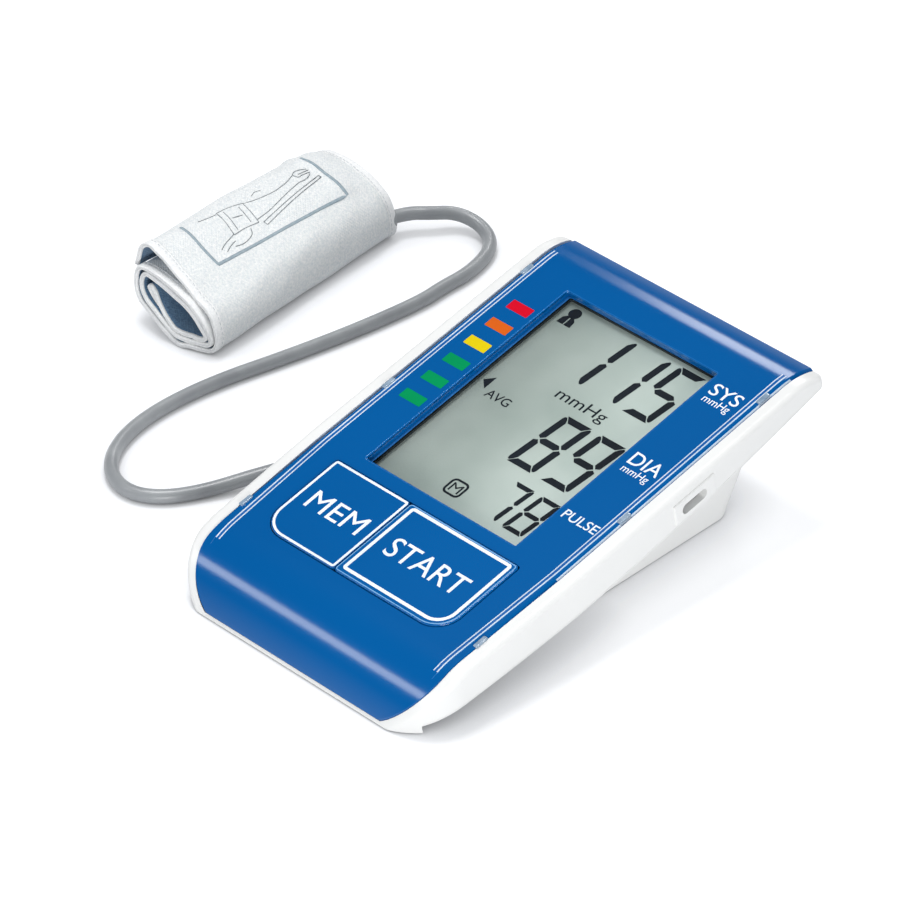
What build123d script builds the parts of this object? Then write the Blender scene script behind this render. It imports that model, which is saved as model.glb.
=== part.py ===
from build123d import *
import math
import os

# A table-top upper-arm blood pressure monitor with its air hose and rolled cuff. All sizes in mm.
# Object frame: +Z up from the table, +Y towards the display end, +X to the right of the user.
# The origin lies on the table, under the middle of the rear rubber foot.
# Slab frame: the sloping upper body. x as above, s along the slope, h square to the faceplate,
# with its zero on the faceplate above the middle of the body's display area.

# ---- the body as a whole ----
tilt = 11.5                 # slope of the faceplate, degrees
face_height = 33.5          # height of the slab frame's zero above the table
face_y = -22.0              # and its place along the object
housing_width = 100.0
near_bend_start = -79.5     # s where the face starts to bend down at the user's end
near_bend_radius = 27.0
far_bend_start = 47.0       # s where it starts to bend down at the display end
far_bend_radius = 25.0
near_end = -103.6           # s of the body's ends
far_end = 59.8
near_narrowing = 1.6        # how much each side draws in towards the user's end
narrowing_start = -42.0
near_corner = 20.0
far_corner = 3.0
rim_round = 1.5
rim_drop = 0.3              # the white rim lies this far below the faceplate
wall = 2.2
floor_wall = 2.0
belly_wall = 2.4
belly_turn_in = 1.9
parting_gap = 0.1
table_gap = 0.5             # housing bottom to table, under the rubber feet

# The parting line of the two housings, seen from the side
parting_far = (far_end, -5.7)
parting_mid = (-15.0, -11.4)
parting_near = (-85.0, -10.0)
parting_nose = (-95.0, -10.8)
nose_line = -96.5                # the front housing has all of the nose, as far as this s

# ---- the foot, which holds cells and pump ----
foot_width = 73.8
foot_rear_low = (15.6, 2.2)     # y, z where the rear face starts and ends
foot_rear_high = (24.6, 18.6)
foot_corner = 5.0

# ---- faceplate and display ----
plate_width = 91.4
plate_near = -101.7
plate_thick = 1.8
plate_bevel = 1.2
plate_corner = 16.0
deck_thick = 1.8
seat_gap = 0.15
display_offset = -0.6           # the display sits this far to the left of the middle
display_width = 56.6
display_length = 81.3
window_thick = 1.0
window_margin = 2.2
glass_margin = 3.2
frame_wall = 1.4
frame_lip = 0.8
glass_thick = 2.0
reflector_thick = 0.5
board_depth = 8.3               # faceplate to circuit board
board_thick = 1.6
board_margin = 4.0              # board's edge to the housing's outside, on each side
board_near = -78.0
board_far = 13.0

# ---- keys ----
keys_left = -34.4               # measured from the display's middle
keys_right = 34.8
keys_near = -76.4
keys_far = -45.8
keys_split = -5.8
key_gap = 0.3
key_round_small = 1.2
key_round_large = 8.0
key_proud = 0.4
key_edge_round = 0.35
key_lip = 0.9
key_lip_thick = 0.9
key_travel = 0.5
switch_size = 6.0
switch_height = 1.3
stem_radius = 1.6
stem_height = 0.8

# ---- parts under the board ----
chip_place = (4.0, -60.0)
chip_size = 12.0
chip_height = 1.2
chip_legs = 8
chip_leg_pitch = 1.3
chip_leg_length = 0.9
buzzer_place = (-20.0, -62.0)
buzzer_radius = 5.0
buzzer_height = 4.0

# ---- USB socket in the right wall ----
usb_s = 4.9
usb_slot_length = 9.8
usb_slot_height = 3.3
usb_shell_width = 7.6
usb_shell_height = 2.7
usb_shell_length = 7.0
usb_pad_length = 15.4
usb_pad_top = 3.2
usb_pad_proud = 0.5

# ---- cells and their door ----
cell_diameter = 10.5
cell_length = 44.5
cell_count = 4
cell_pitch = 11.2
cell_first_y = -51.3
contact_room = 3.3
bay_wall = 1.4
bay_latch_room = 2.4
door_ledge = 0.7                # the door's edge laps the bay's wall by this much
door_thick = 1.9
door_gap = 0.3

# ---- pump, valve and air way ----
pump_y = 4.5
pump_z = 14.8
motor_radius = 10.0
motor_length = 25.0
pump_head_size = 21.0
pump_head_length = 18.0
cushion_thick = 2.0
cushion_length = 8.0
cushion_start = 7.0
shaft_radius = 1.0
running_gap = 0.05
crank_radius = 5.0
nozzle_radius = 1.6
tube_wall = 0.9
channel_x = -31.2               # the air way runs along this line inside the foot
air_y = -20.0
air_z = 9.0
tee_y = -44.0
tee_z = 7.4
tee_radius = 2.6
sensor_turn_z = 12.7            # where the sensor's short tube bends
nozzle_length = 3.0
sensor_height = 3.0
sensor_nozzle = 2.2
socket_radius = 4.2
socket_bore = 2.3
socket_bore_depth = 8.6
socket_block = 4.2
socket_flange = 1.5
stem_length = 8.0
stem_clearance = 0.08
valve_y = -69.0
valve_z = 7.0
valve_length = 12.0
valve_stroke = 0.8
plunger_radius = 1.5

# ---- hose and cuff ----
hose_diameter = 4.2
plug_arm = 10.0
cuff_near_y = -33.3
cuff_far_y = 46.5
cuff_near = (-134.7, 13.4, 19.9, 13.4)      # centre x, centre z, half width, half height
cuff_far = (-143.0, 9.8, 17.6, 9.8)
cuff_cover_thick = 1.8
bladder_thick = 1.3
lining_thick = 1.6
cuff_layer_gap = 0.3
bladder_margin = 5.0
port_wall = 0.9
port_gap = 0.05

slab_place = Location((0, face_y, face_height), (tilt, 0, 0))
display_x = display_offset
deck_top = plate_thick + seat_gap
plate_near_angle = math.degrees(math.asin((near_bend_start - plate_near) / near_bend_radius))
deck_under = deck_top + deck_thick
board_under = board_depth + board_thick
usb_depth = board_depth - usb_shell_height / 2
foot_floor = table_gap + floor_wall
half_width = housing_width / 2
board_width = housing_width - 2 * board_margin


def on_slab(shape):
    """Move a shape from the slab frame to the object frame."""
    return shape.moved(slab_place)


def to_slab(y, z):
    """A point of the object's side view, in the slab's own s and h."""
    a = math.radians(tilt)
    dy, dz = y - face_y, z - face_height
    return (dy * math.cos(a) + dz * math.sin(a), dz * math.cos(a) - dy * math.sin(a))


def box_at(x0, x1, y0, y1, z0, z1):
    """A plain block between two corners."""
    centre = ((x0 + x1) / 2, (y0 + y1) / 2, (z0 + z1) / 2)
    return Pos(*centre) * Box(x1 - x0, y1 - y0, z1 - z0)


def rod(start, axis, length, radius):
    """A cylinder that starts at a point and runs along an axis."""
    return extrude(Plane(origin=start, z_dir=axis) * Circle(radius), length)


def near_point(depth, angle):
    """A point on the user's end bend, at a depth below the face."""
    r = near_bend_radius - depth
    a = math.radians(angle)
    return (near_bend_start - r * math.sin(a), -near_bend_radius + r * math.cos(a))


def far_point(depth, angle):
    """A point on the display end's bend, at a depth below the face."""
    r = far_bend_radius - depth
    a = math.radians(angle)
    return (far_bend_start + r * math.sin(a), -far_bend_radius + r * math.cos(a))


def face_curve(depth, near_angle, far_angle):
    """The face's side view at a depth, from the user's end to the display end."""
    return [
        ThreePointArc(*(near_point(depth, a) for a in (near_angle, near_angle / 2, 0))),
        Line(near_point(depth, 0), far_point(depth, 0)),
        ThreePointArc(*(far_point(depth, a) for a in (0, far_angle / 2, far_angle))),
    ]


def face_rest():
    """The deep closing lines under the face's side view."""
    n, f = near_point(0, 78), far_point(0, 52)
    return [Line(n, (n[0], -60)), Line((n[0], -60), (f[0], -60)), Line((f[0], -60), f)]


def side_prism(edges, half=housing_width):
    """A side view, closed and carried across the whole width."""
    return extrude(Plane.YZ * make_face(edges), half, both=True)


def layer(top, bottom, near_angle=78, far_angle=52):
    """A sheet that follows the face, between two depths below it."""
    upper = face_curve(top, near_angle, far_angle)
    lower = face_curve(bottom, near_angle, far_angle)
    ends = [
        Line(near_point(top, near_angle), near_point(bottom, near_angle)),
        Line(far_point(top, far_angle), far_point(bottom, far_angle)),
    ]
    return side_prism(upper + lower + ends)


def plan_prism(half, near, far, near_radius, far_radius, narrowing=near_narrowing):
    """The body's outline from above, carried through its whole depth."""
    points = [
        (half, far), (half, narrowing_start), (half - narrowing, near),
        (narrowing - half, near), (-half, narrowing_start), (-half, far),
    ]
    face = make_face(Polyline(*points, close=True))
    by_s = face.vertices().sort_by(Axis.Y)
    face = fillet(by_s[0:2], near_radius)
    by_s = face.vertices().group_by(Axis.Y)
    face = fillet(by_s[-1], far_radius)
    return extrude(Pos(0, 0, 10) * face, -60)


def parting_edges(drop):
    """The parting line, moved down by a drop."""
    def low(point):
        return (point[0], point[1] - drop)
    a = math.radians(tilt)
    nose = (near_end, (table_gap - face_height - near_end * math.sin(a)) / math.cos(a) - 0.2)
    return [
        ThreePointArc(low(parting_far), low(parting_mid), low(parting_near)),
        ThreePointArc(low(parting_near), low(parting_nose), low(nose)),
    ], low(nose)


def rounded_block(x0, x1, y0, y1, radii, z0, z1):
    """A block with its own radius at each corner: near left, near right, far left, far right."""
    face = Pos((x0 + x1) / 2, (y0 + y1) / 2) * Rectangle(x1 - x0, y1 - y0)
    for corner, radius in zip(((x0, y0), (x1, y0), (x0, y1), (x1, y1)), radii):
        if radius:
            face = fillet(face.vertices().sort_by_distance((*corner, 0))[0], radius)
    return extrude(Pos(0, 0, z0) * face, z1 - z0)


# ---------------------------------------------------------------- faceplate and keys
def key_spans():
    """Left and right ends of each key, before its running gap."""
    left, right = keys_left + display_x, keys_right + display_x
    split = keys_split + display_x
    return {"mem_key": (left, split), "start_key": (split, right)}


def key_radii(name):
    small, large = key_round_small, key_round_large
    return (large, small, small, small) if name == "mem_key" else (small, large, small, small)


def keys_block(grow, z0, z1):
    """The outline of both keys together, grown on every side."""
    spans = key_spans()
    left, right = spans["mem_key"][0] - grow, spans["start_key"][1] + grow
    large = key_round_large + grow
    return rounded_block(left, right, keys_near - grow, keys_far + grow,
                         (large, large, key_round_small, key_round_small), z0, z1)


def display_block(margin, z0, z1):
    """A block over the display, with a margin outside its visible area."""
    hx, hs = display_width / 2 + margin, display_length / 2 + margin
    return box_at(display_x - hx, display_x + hx, -hs, hs, z0, z1)


def faceplate():
    half = plate_width / 2
    plate = layer(0, plate_thick, plate_near_angle)
    plate &= plan_prism(half, plate_near - 0.5, far_end, plate_corner, 0.6)
    plate -= display_block(0, -10, 10)
    plate -= keys_block(key_gap, -10, 10)
    view = make_face(face_curve(0, 78, 52) + face_rest())
    flat = half - plate_bevel
    envelope = extrude(Plane.YZ * view, flat, both=True)
    side = extrude(Plane.YZ.offset(flat) * view, plate_bevel, taper=45)
    return plate & (envelope + side + mirror(side, Plane.YZ))


def key(name):
    x0, x1 = key_spans()[name]
    gap = key_gap / 2
    left = x0 + (gap if name == "start_key" else 0)
    right = x1 - (gap if name == "mem_key" else 0)
    cap = rounded_block(left, right, keys_near, keys_far, key_radii(name), -deck_under - 0.1, key_proud)
    cap = fillet(cap.faces().sort_by(Axis.Z)[-1].edges(), key_edge_round)
    lip_left = left - (key_lip if name == "mem_key" else 0)
    lip_right = right + (key_lip if name == "start_key" else 0)
    lip_top = -deck_under - 0.1
    lip = box_at(lip_left, lip_right, keys_near - key_lip, keys_far,
                 lip_top - key_lip_thick, lip_top)
    inner = box_at(left + 2.5, right - 2.5, keys_near + 2.5, keys_far - 2.5,
                   lip_top - key_lip_thick, -plate_thick)
    post = rod((*switch_place(name), -plate_thick), (0, 0, -1), post_end() - plate_thick, 2.2)
    return cap + lip - inner + post


def post_end():
    """Depth at which a key's post meets its switch."""
    return board_depth - switch_height - stem_height


def switch_place(name):
    x0, x1 = key_spans()[name]
    return ((x0 + x1) / 2, (keys_near + keys_far) / 2)


def switch_base(name):
    x, s = switch_place(name)
    r = switch_size / 2
    top = -board_depth + switch_height
    base = box_at(x - r, x + r, s - r, s + r, -board_depth, top)
    return base - rod((x, s, top), (0, 0, -1), key_travel + 0.4, stem_radius + 0.1)


def switch_stem(name):
    x, s = switch_place(name)
    return rod((x, s, -post_end()), (0, 0, -1), stem_height + 0.3, stem_radius)


# ---------------------------------------------------------------- display parts
def display_window():
    m = window_margin - seat_gap
    return display_block(m, -deck_top - window_thick, -deck_top)


def glass_top():
    return deck_under + 0.1


def lcd_glass():
    top = glass_top()
    upper = display_block(glass_margin, -top - glass_thick / 2, -top)
    lower = display_block(glass_margin, -top - glass_thick, -top - glass_thick / 2)
    ledge = box_at(-60, 60, -display_length / 2 - glass_margin, -display_length / 2 - 1.0,
                   -top - glass_thick, -top - glass_thick / 2)
    return upper + (lower - ledge)


def lcd_reflector():
    top = glass_top() + glass_thick
    hx, hs = display_width / 2 + glass_margin, display_length / 2
    return box_at(display_x - hx, display_x + hx, -hs - 1.0, hs + glass_margin,
                  -top - reflector_thick, -top)


def lcd_frame():
    top = glass_top()
    bottom = top + glass_thick + reflector_thick
    ring = display_block(glass_margin + frame_wall, -bottom - frame_lip, -deck_under)
    ring -= display_block(glass_margin + 0.05, -bottom, -deck_under + 1)
    ring -= display_block(glass_margin - 2.5, -bottom - 2, -bottom + 1)
    hx = display_width / 2 + 0.3
    s = -display_length / 2
    near = s - glass_margin - 0.05
    return ring - box_at(display_x - hx, display_x + hx, near, s, -bottom - 2, -bottom + 1)


def lcd_connector():
    """The striped rubber strip between the glass ledge and the board."""
    top = glass_top() + glass_thick / 2
    s = -display_length / 2 - glass_margin + 1.1
    hx = display_width / 2
    return box_at(display_x - hx, display_x + hx, s - 1.0, s + 1.0, -board_depth, -top)


# ---------------------------------------------------------------- housings
board_screws_at = [(x, s) for x in (-38.2, 38.2) for s in (-73.0, 9.0)]
housing_screws_at = [(-40.0, -87.0), (40.0, -87.0), (-43.0, 42.0), (43.0, 42.0)]
boss_radius = 2.1
pilot_radius = 0.95
screw_radius = 0.9
screw_bite = 2.4             # how far a housing screw goes into its boss
board_screw_bite = 2.8
head_depth = 1.2             # its head's seat, below the parting line
head_radius = 1.7
head_height = 1.1


def parting_height(s):
    """h of the parting line at s, from the circle through its three points."""
    (x1, y1), (x2, y2), (x3, y3) = parting_far, parting_mid, parting_near
    d = 2 * (x1 * (y2 - y3) + x2 * (y3 - y1) + x3 * (y1 - y2))
    q1, q2, q3 = x1 * x1 + y1 * y1, x2 * x2 + y2 * y2, x3 * x3 + y3 * y3
    cx = (q1 * (y2 - y3) + q2 * (y3 - y1) + q3 * (y1 - y2)) / d
    cy = (q1 * (x3 - x2) + q2 * (x1 - x3) + q3 * (x2 - x1)) / d
    return cy - math.sqrt((x1 - cx) ** 2 + (y1 - cy) ** 2 - (s - cx) ** 2)


def above_table():
    """Everything of the slab frame that is above the housing's bottom."""
    block = box_at(-90, 90, -200, 120, table_gap, 120)
    return block.moved(slab_place.inverse())


def nose_block():
    """All the room in front of the nose line."""
    return box_at(-housing_width, housing_width, near_end - 20, nose_line, -80, 20)


def usb_pad():
    """The flat raised pad on the right wall that the USB slot is cut in."""
    low = parting_height(usb_s) + 0.4
    s0, s1 = usb_s - usb_pad_length / 2, usb_s + usb_pad_length / 2 + 0.9
    pad = box_at(half_width - 1, half_width + usb_pad_proud, s0, s1, low, -usb_pad_top)
    return chamfer(pad.faces().sort_by(Axis.X)[-1].edges(), 0.3)


def usb_slot(grow, x0, x1):
    """The USB slot's outline, grown, and carried through the wall."""
    plane = Plane(origin=(x0, usb_s, -usb_depth), x_dir=(0, 1, 0), z_dir=(1, 0, 0))
    outline = SlotOverall(usb_slot_length + 2 * grow, usb_slot_height + 2 * grow)
    return extrude(plane * outline, x1 - x0)


def on_rim(edge):
    """Whether an edge runs round the rim; the seams across the face, at each bend's start, don't."""
    point = edge.center()
    if point.Z < -14 or abs(point.Z - rim_level(point.Y, rim_drop)) > 0.4:
        return False
    return abs(point.X) > 20 or abs(point.Y - far_end) < 1 or point.Y < -100


def front_housing():
    tall = [Line((near_end - 6, -30), (near_end - 6, -12)), Line((far_end + 9, -12), (far_end + 9, -30)),
            Line((near_end - 6, -30), (far_end + 9, -30))]
    top = face_curve(rim_drop, 66, 44)
    joins = [Line((near_end - 6, -12), near_point(rim_drop, 66)),
             Line(far_point(rim_drop, 44), (far_end + 9, -12))]
    outer = side_prism(top + joins + tall) & plan_prism(half_width, near_end, far_end,
                                                        near_corner, far_corner)
    outer = fillet(outer.edges().filter_by(on_rim), rim_round)
    lines, nose = parting_edges(0)
    under = lines + [Line(parting_far, (far_end + 12, -5.7)),
                     Line((far_end + 12, -5.7), (far_end + 12, -45)),
                     Line((far_end + 12, -45), (nose[0], -45)), Line((nose[0], -45), nose)]
    lower = side_prism(under) - nose_block()
    body = outer & above_table()
    body -= layer(-6, deck_top, plate_near_angle + 0.5) & plan_prism(
        plate_width / 2 + seat_gap, plate_near - 0.5 - seat_gap, far_end + 5, plate_corner + seat_gap, 0.6)
    inner_half = half_width - wall
    inside = plan_prism(inner_half, nose_line + 0.2, far_end - wall, near_corner - wall, far_corner)
    body -= inside & below_deck()
    body -= display_block(window_margin, -deck_top - window_thick - 0.05, 0)
    body -= display_block(0.6, -10, 0)
    body -= keys_block(key_gap, -10, 0)
    for x, s in board_screws_at:
        body += rod((x, s, -deck_under), (0, 0, -1), board_depth - deck_under, boss_radius)
        body -= rod((x, s, -board_depth), (0, 0, 1), 3.2, pilot_radius)
    for x, s in housing_screws_at:
        low = parting_height(s)
        body += rod((x, s, low), (0, 0, 1), -low, boss_radius) & below_deck(0.3)
        body -= rod((x, s, low - 1), (0, 0, 1), 1 + screw_bite + 0.3, pilot_radius)
    body += usb_pad()
    body -= usb_slot(0, 40, 60)
    return body - lower


def rim_level(s, depth):
    """h at s of the line that lies a depth below the face."""
    if s < near_bend_start:
        r, run = near_bend_radius, s - near_bend_start
    elif s > far_bend_start:
        r, run = far_bend_radius, s - far_bend_start
    else:
        return -depth
    return -r + math.sqrt(max((r - depth) ** 2 - run ** 2, 0))


def below_deck(lift=0.0):
    """All the room under the deck that carries the faceplate."""
    depth = deck_under - lift
    top = face_curve(depth, 66, 52)
    n, f = near_point(depth, 66), far_point(depth, 52)
    rest = [Line(n, (n[0], -50)), Line((n[0], -50), (f[0], -50)), Line((f[0], -50), f)]
    return side_prism(top + rest)


def foot_profile(inset):
    """The foot from the side: flat bottom, rounded heel, sloping rear face."""
    low = table_gap + inset
    lean = math.atan2(foot_rear_high[1] - foot_rear_low[1], foot_rear_high[0] - foot_rear_low[0])
    shift = inset / math.sin(lean)
    rear_low = (foot_rear_low[0] - shift, low)
    rear_high = (foot_rear_high[0] - shift, foot_rear_high[1])
    rise = 26.0
    rear_top = (rear_high[0] + rise / math.tan(lean), rear_high[1] + rise)
    front = (face_y - 100.5 + (12.0 if inset else 0.0), low)
    front_top = (front[0], 40.0)
    points = [to_slab(*p) for p in (front, rear_low, rear_top, front_top)]
    return side_prism([Polyline(*points, close=True)], foot_width / 2 - inset)


def room_below_parting(drop):
    """All the room under the parting line moved down by a drop."""
    lines, nose = parting_edges(drop)
    far = (parting_far[0], parting_far[1] - drop)
    rest = [Line(far, (far[0] + 12, far[1])), Line((far[0] + 12, far[1]), (far[0] + 12, -70)),
            Line((far[0] + 12, -70), (nose[0] - 3, -70)), Line((nose[0] - 3, -70), (nose[0] - 3, nose[1])),
            Line((nose[0] - 3, nose[1]), nose)]
    return side_prism(lines + rest)


def bay_box(grow, z0, z1):
    """The cell bay in the object frame, grown sideways."""
    hx = cell_length / 2 + contact_room + grow
    y0 = cell_first_y - cell_diameter / 2 - 0.7 - grow
    y1 = cell_first_y + (cell_count - 1) * cell_pitch + cell_diameter / 2 + bay_latch_room + grow
    return box_at(-hx, hx, y0, y1, z0, z1)


cell_z = table_gap + door_thick + 0.3 + cell_diameter / 2
bay_top = cell_z + cell_diameter / 2 + 0.4
rear_foot_size = (56.0, 9.0)
front_foot_radius = 5.0
front_feet_at = [(-26.0, -101.0), (26.0, -101.0)]
foot_depth = 1.2


def rear_housing():
    outline = plan_prism(half_width, near_end, far_end, near_corner, far_corner)
    belly = outline & room_below_parting(parting_gap)
    belly -= room_below_parting(belly_wall)
    belly = chamfer([e for e in belly.edges() if under_rim(e.center())], belly_turn_in)
    foot = foot_profile(0) & room_below_parting(parting_gap)
    heel = foot.edges().filter_by(lambda e: abs(e.center().X) > foot_width / 2 - 0.01
                                  and e.center().Y > 30 and e.length > 10)
    foot = fillet(heel, foot_corner)
    body = (belly + foot - nose_block()) & above_table()
    hollow = foot_profile(floor_wall) & room_below_parting(-20)
    hollow &= plan_prism(foot_width / 2 - floor_wall, -90, far_end, 3, 3, 0)
    body = on_slab(body - hollow)
    body += bay_box(bay_wall, table_gap, bay_top + bay_wall)
    body -= bay_box(0, -1, bay_top)
    body -= bay_box(door_ledge, -1, table_gap + door_thick + 0.1)
    for x, y in front_feet_at:
        body -= rod((x, y, -1), (0, 0, 1), foot_depth + 1, front_foot_radius + 0.1)
    body -= box_at(-rear_foot_size[0] / 2 - 0.1, rear_foot_size[0] / 2 + 0.1,
                   -rear_foot_size[1] / 2 - 0.1, rear_foot_size[1] / 2 + 0.1, -1, foot_depth)
    body -= rod((-foot_width / 2 - 5, air_y, air_z), (1, 0, 0), 10, socket_radius + 0.05)
    cradle_radius = motor_radius + cushion_thick + 0.05
    for x in (motor_x0 + cushion_start + 2.0, motor_x0 + cushion_start + 6.0):
        rib = box_at(x - 0.8, x + 0.8, pump_y - 11, pump_y + 9, foot_floor - 0.5, pump_z - 4.0)
        body += rib - rod((x - 5, pump_y, pump_z), (1, 0, 0), 10, cradle_radius)
    for x, s in housing_screws_at:
        hole = rod((x, s, parting_height(s) + 1), (0, 0, -1), 20, screw_radius + 0.15)
        head = rod((x, s, parting_height(s) - head_depth), (0, 0, -1), 20, head_radius + 0.3)
        body -= on_slab(hole + head)
    for x, s in board_screws_at:
        body -= on_slab(rod((x, s, -board_under), (0, 0, -1), head_height + 0.3, head_radius + 0.5))
    return body


def under_rim(point):
    """Whether a point is on the lower edge all round the belly's sheet."""
    if abs(point.X) < 38 and point.Y < far_end - 1:
        return False
    return abs(point.Z - parting_height(point.Y) + belly_wall) < 0.25 and point.Y > parting_near[0]


# ---------------------------------------------------------------- small parts
def screw(x, y, z, axis, length):
    """A pan-head screw, its head's underside at the point, its shank along the axis."""
    back = tuple(-c for c in axis)
    part = rod((x, y, z), axis, length, screw_radius)
    part += rod((x, y, z), back, head_height, head_radius)
    tip = (x + back[0] * head_height, y + back[1] * head_height, z + back[2] * head_height)
    plane = Plane(origin=tip, z_dir=axis)
    return part - extrude(plane * (Rectangle(2.0, 0.4) + Rectangle(0.4, 2.0)), 0.6)


def housing_screws():
    length = head_depth + screw_bite
    return [on_slab(screw(x, s, parting_height(s) - head_depth, (0, 0, 1), length))
            for x, s in housing_screws_at]


def board_screws():
    length = board_thick + board_screw_bite
    return [on_slab(screw(x, s, -board_under, (0, 0, 1), length)) for x, s in board_screws_at]


def circuit_board():
    board = box_at(-board_width / 2, board_width / 2, board_near, board_far, -board_under, -board_depth)
    for x, s in board_screws_at:
        board -= rod((x, s, -20), (0, 0, 1), 20, screw_radius + 0.15)
    return on_slab(board)


def usb_socket():
    x1 = half_width - wall + 0.6
    x0 = x1 - usb_shell_length
    hs, hh = usb_shell_width / 2, usb_shell_height / 2
    h = -board_depth + hh
    shell = box_at(x0, x1, usb_s - hs, usb_s + hs, h - hh, h + hh)
    shell -= box_at(x0 + 1.0, x1 + 1, usb_s - hs + 0.3, usb_s + hs - 0.3, h - hh + 0.3, h + hh - 0.3)
    shell += box_at(x0 + 0.5, x1 - 1.0, usb_s - 2.6, usb_s + 2.6, h - 0.1, h + 0.5)
    return on_slab(shell)


def under_board(x, s, size_x, size_s, size_h):
    """A block soldered to the board's underside."""
    return box_at(x - size_x / 2, x + size_x / 2, s - size_s / 2, s + size_s / 2,
                  -board_under - size_h, -board_under)


def pressure_sensor():
    s = sensor_s()
    body = under_board(channel_x, s, 7.0, 9.0, sensor_height)
    nozzle = rod((channel_x, s, -board_under - sensor_height), (0, 0, -1), sensor_nozzle, nozzle_radius)
    return on_slab(body + nozzle)


def controller_chip():
    x, s = chip_place
    chip = under_board(x, s, chip_size, chip_size, chip_height)
    for i in range(chip_legs):
        leg_s = s + (i - (chip_legs - 1) / 2) * chip_leg_pitch
        chip += under_board(x, leg_s, chip_size + 2 * chip_leg_length, 0.5, 0.4)
    return on_slab(chip)


def buzzer():
    body = rod((*buzzer_place, -board_under), (0, 0, -1), buzzer_height, buzzer_radius)
    return on_slab(body - rod((*buzzer_place, -board_under - buzzer_height), (0, 0, 1), 1.5, 1.0))


def rubber_feet():
    w, d = rear_foot_size
    rear = box_at(-w / 2, w / 2, -d / 2, d / 2, 0, foot_depth)
    rear = fillet(rear.edges().filter_by(Axis.Z), 2.0)
    return [rear] + [rod((x, y, 0), (0, 0, 1), foot_depth, front_foot_radius) for x, y in front_feet_at]


def cell_ys():
    return [cell_first_y + i * cell_pitch for i in range(cell_count)]


def cells():
    made = []
    for i, y in enumerate(cell_ys()):
        side = 1 if i % 2 else -1
        body = rod((-cell_length / 2 * side, y, cell_z), (side, 0, 0), cell_length - 1.0, cell_diameter / 2)
        body = fillet(body.edges(), 0.5)
        tip = cell_length / 2 - 1.0
        made.append(body + rod((tip * side, y, cell_z), (side, 0, 0), 1.0, 1.9))
    return made


def contact_plate_x():
    return cell_length / 2 + contact_room - 0.5


def cell_contacts():
    """Flat plates at the cells' positive ends."""
    made = []
    for i, y in enumerate(cell_ys()):
        side = 1 if i % 2 else -1
        x0, x1 = sorted((side * (cell_length / 2 + 0.02), side * (contact_plate_x() + 0.5)))
        made.append(box_at(x0, x1, y - 3.5, y + 3.5, cell_z - 3.5, cell_z + 3.5))
    return made


def cell_springs():
    """Cone springs at the cells' negative ends, on their own plates."""
    made = []
    for i, y in enumerate(cell_ys()):
        side = -1 if i % 2 else 1
        outer = contact_plate_x() + 0.5
        x0, x1 = sorted((side * (outer - 0.5), side * outer))
        part = box_at(x0, x1, y - 3.5, y + 3.5, cell_z - 3.5, cell_z + 3.5)
        span = outer - 0.5 - cell_length / 2 - 0.05
        for turn in range(4):
            x = side * (outer - 0.5 - span * (turn + 0.5) / 4)
            ring = Plane(origin=(x, y, cell_z), z_dir=(1, 0, 0)) * Torus(2.9 - 0.2 * turn, span / 7.2)
            part += ring
        made.append(part)
    return made


def battery_door():
    z1 = table_gap + door_thick
    door = bay_box(door_ledge - door_gap, table_gap, z1)
    door = fillet(door.edges().filter_by(Axis.Z), 1.5)
    y_end = bay_box(0, 0, 1).bounding_box().max.Y
    door += box_at(-6, 6, y_end - 1.5, y_end - 0.3, z1 - 0.5, z1 + 6.0)
    for i in range(4):
        y = y_end - 5.0 - 2.0 * i
        door -= Pos(0, y, table_gap) * Rot(0, 90, 0) * Cylinder(0.45, 16.0)
    return door


# ---------------------------------------------------------------- pump, valve, air way
motor_x0 = 0.0
head_x0 = motor_x0 - pump_head_length


def pump_motor():
    can = rod((motor_x0, pump_y, pump_z), (1, 0, 0), motor_length, motor_radius)
    can = fillet(can.edges().sort_by(Axis.X)[-1], 1.5)
    can += rod((motor_x0 + motor_length, pump_y, pump_z), (1, 0, 0), 1.5, 3.0)
    return can - rod((motor_x0 - 1, pump_y, pump_z), (1, 0, 0), motor_length + 5, shaft_radius + running_gap)


def pump_head():
    r = pump_head_size / 2
    head = box_at(head_x0, motor_x0, pump_y - r, pump_y + r, pump_z - r, pump_z + r)
    head = fillet(head.edges().filter_by(Axis.X), 4.0)
    head -= rod((motor_x0 - 7.0, pump_y, pump_z), (1, 0, 0), 8.0, crank_radius + 1.5)
    nozzle = rod((head_x0, pump_y, pump_z), (-1, 0, 0), 4.5, nozzle_radius)
    nozzle -= rod((head_x0 - 5, pump_y, pump_z), (1, 0, 0), 9.0, 0.8)
    return head + nozzle


def pump_rotor():
    shaft = rod((motor_x0 - 1.5, pump_y, pump_z), (1, 0, 0), motor_length + 4.5, shaft_radius)
    crank = rod((motor_x0 - 5.0, pump_y, pump_z), (1, 0, 0), 3.5, crank_radius)
    pin = rod((motor_x0 - 6.3, pump_y + 3.0, pump_z), (1, 0, 0), 1.4, 0.9)
    return shaft + crank + pin


def pump_cushion():
    x0 = motor_x0 + cushion_start
    ring = rod((x0, pump_y, pump_z), (1, 0, 0), cushion_length, motor_radius + cushion_thick)
    ring -= rod((x0 - 1, pump_y, pump_z), (1, 0, 0), cushion_length + 2, motor_radius)
    pad = box_at(head_x0 + 3, motor_x0 - 3, pump_y - 6, pump_y + 6, foot_floor, pump_z - pump_head_size / 2)
    return [ring, pad]


def air_tube(points, radii):
    """A soft inner tube along straight runs and arcs."""
    path = FilletPolyline(*points, radius=radii)
    start = Plane(origin=path @ 0, z_dir=path % 0)
    ring = Circle(nozzle_radius + tube_wall) - Circle(nozzle_radius + 0.03)
    return sweep(start * ring, path=path)


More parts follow.
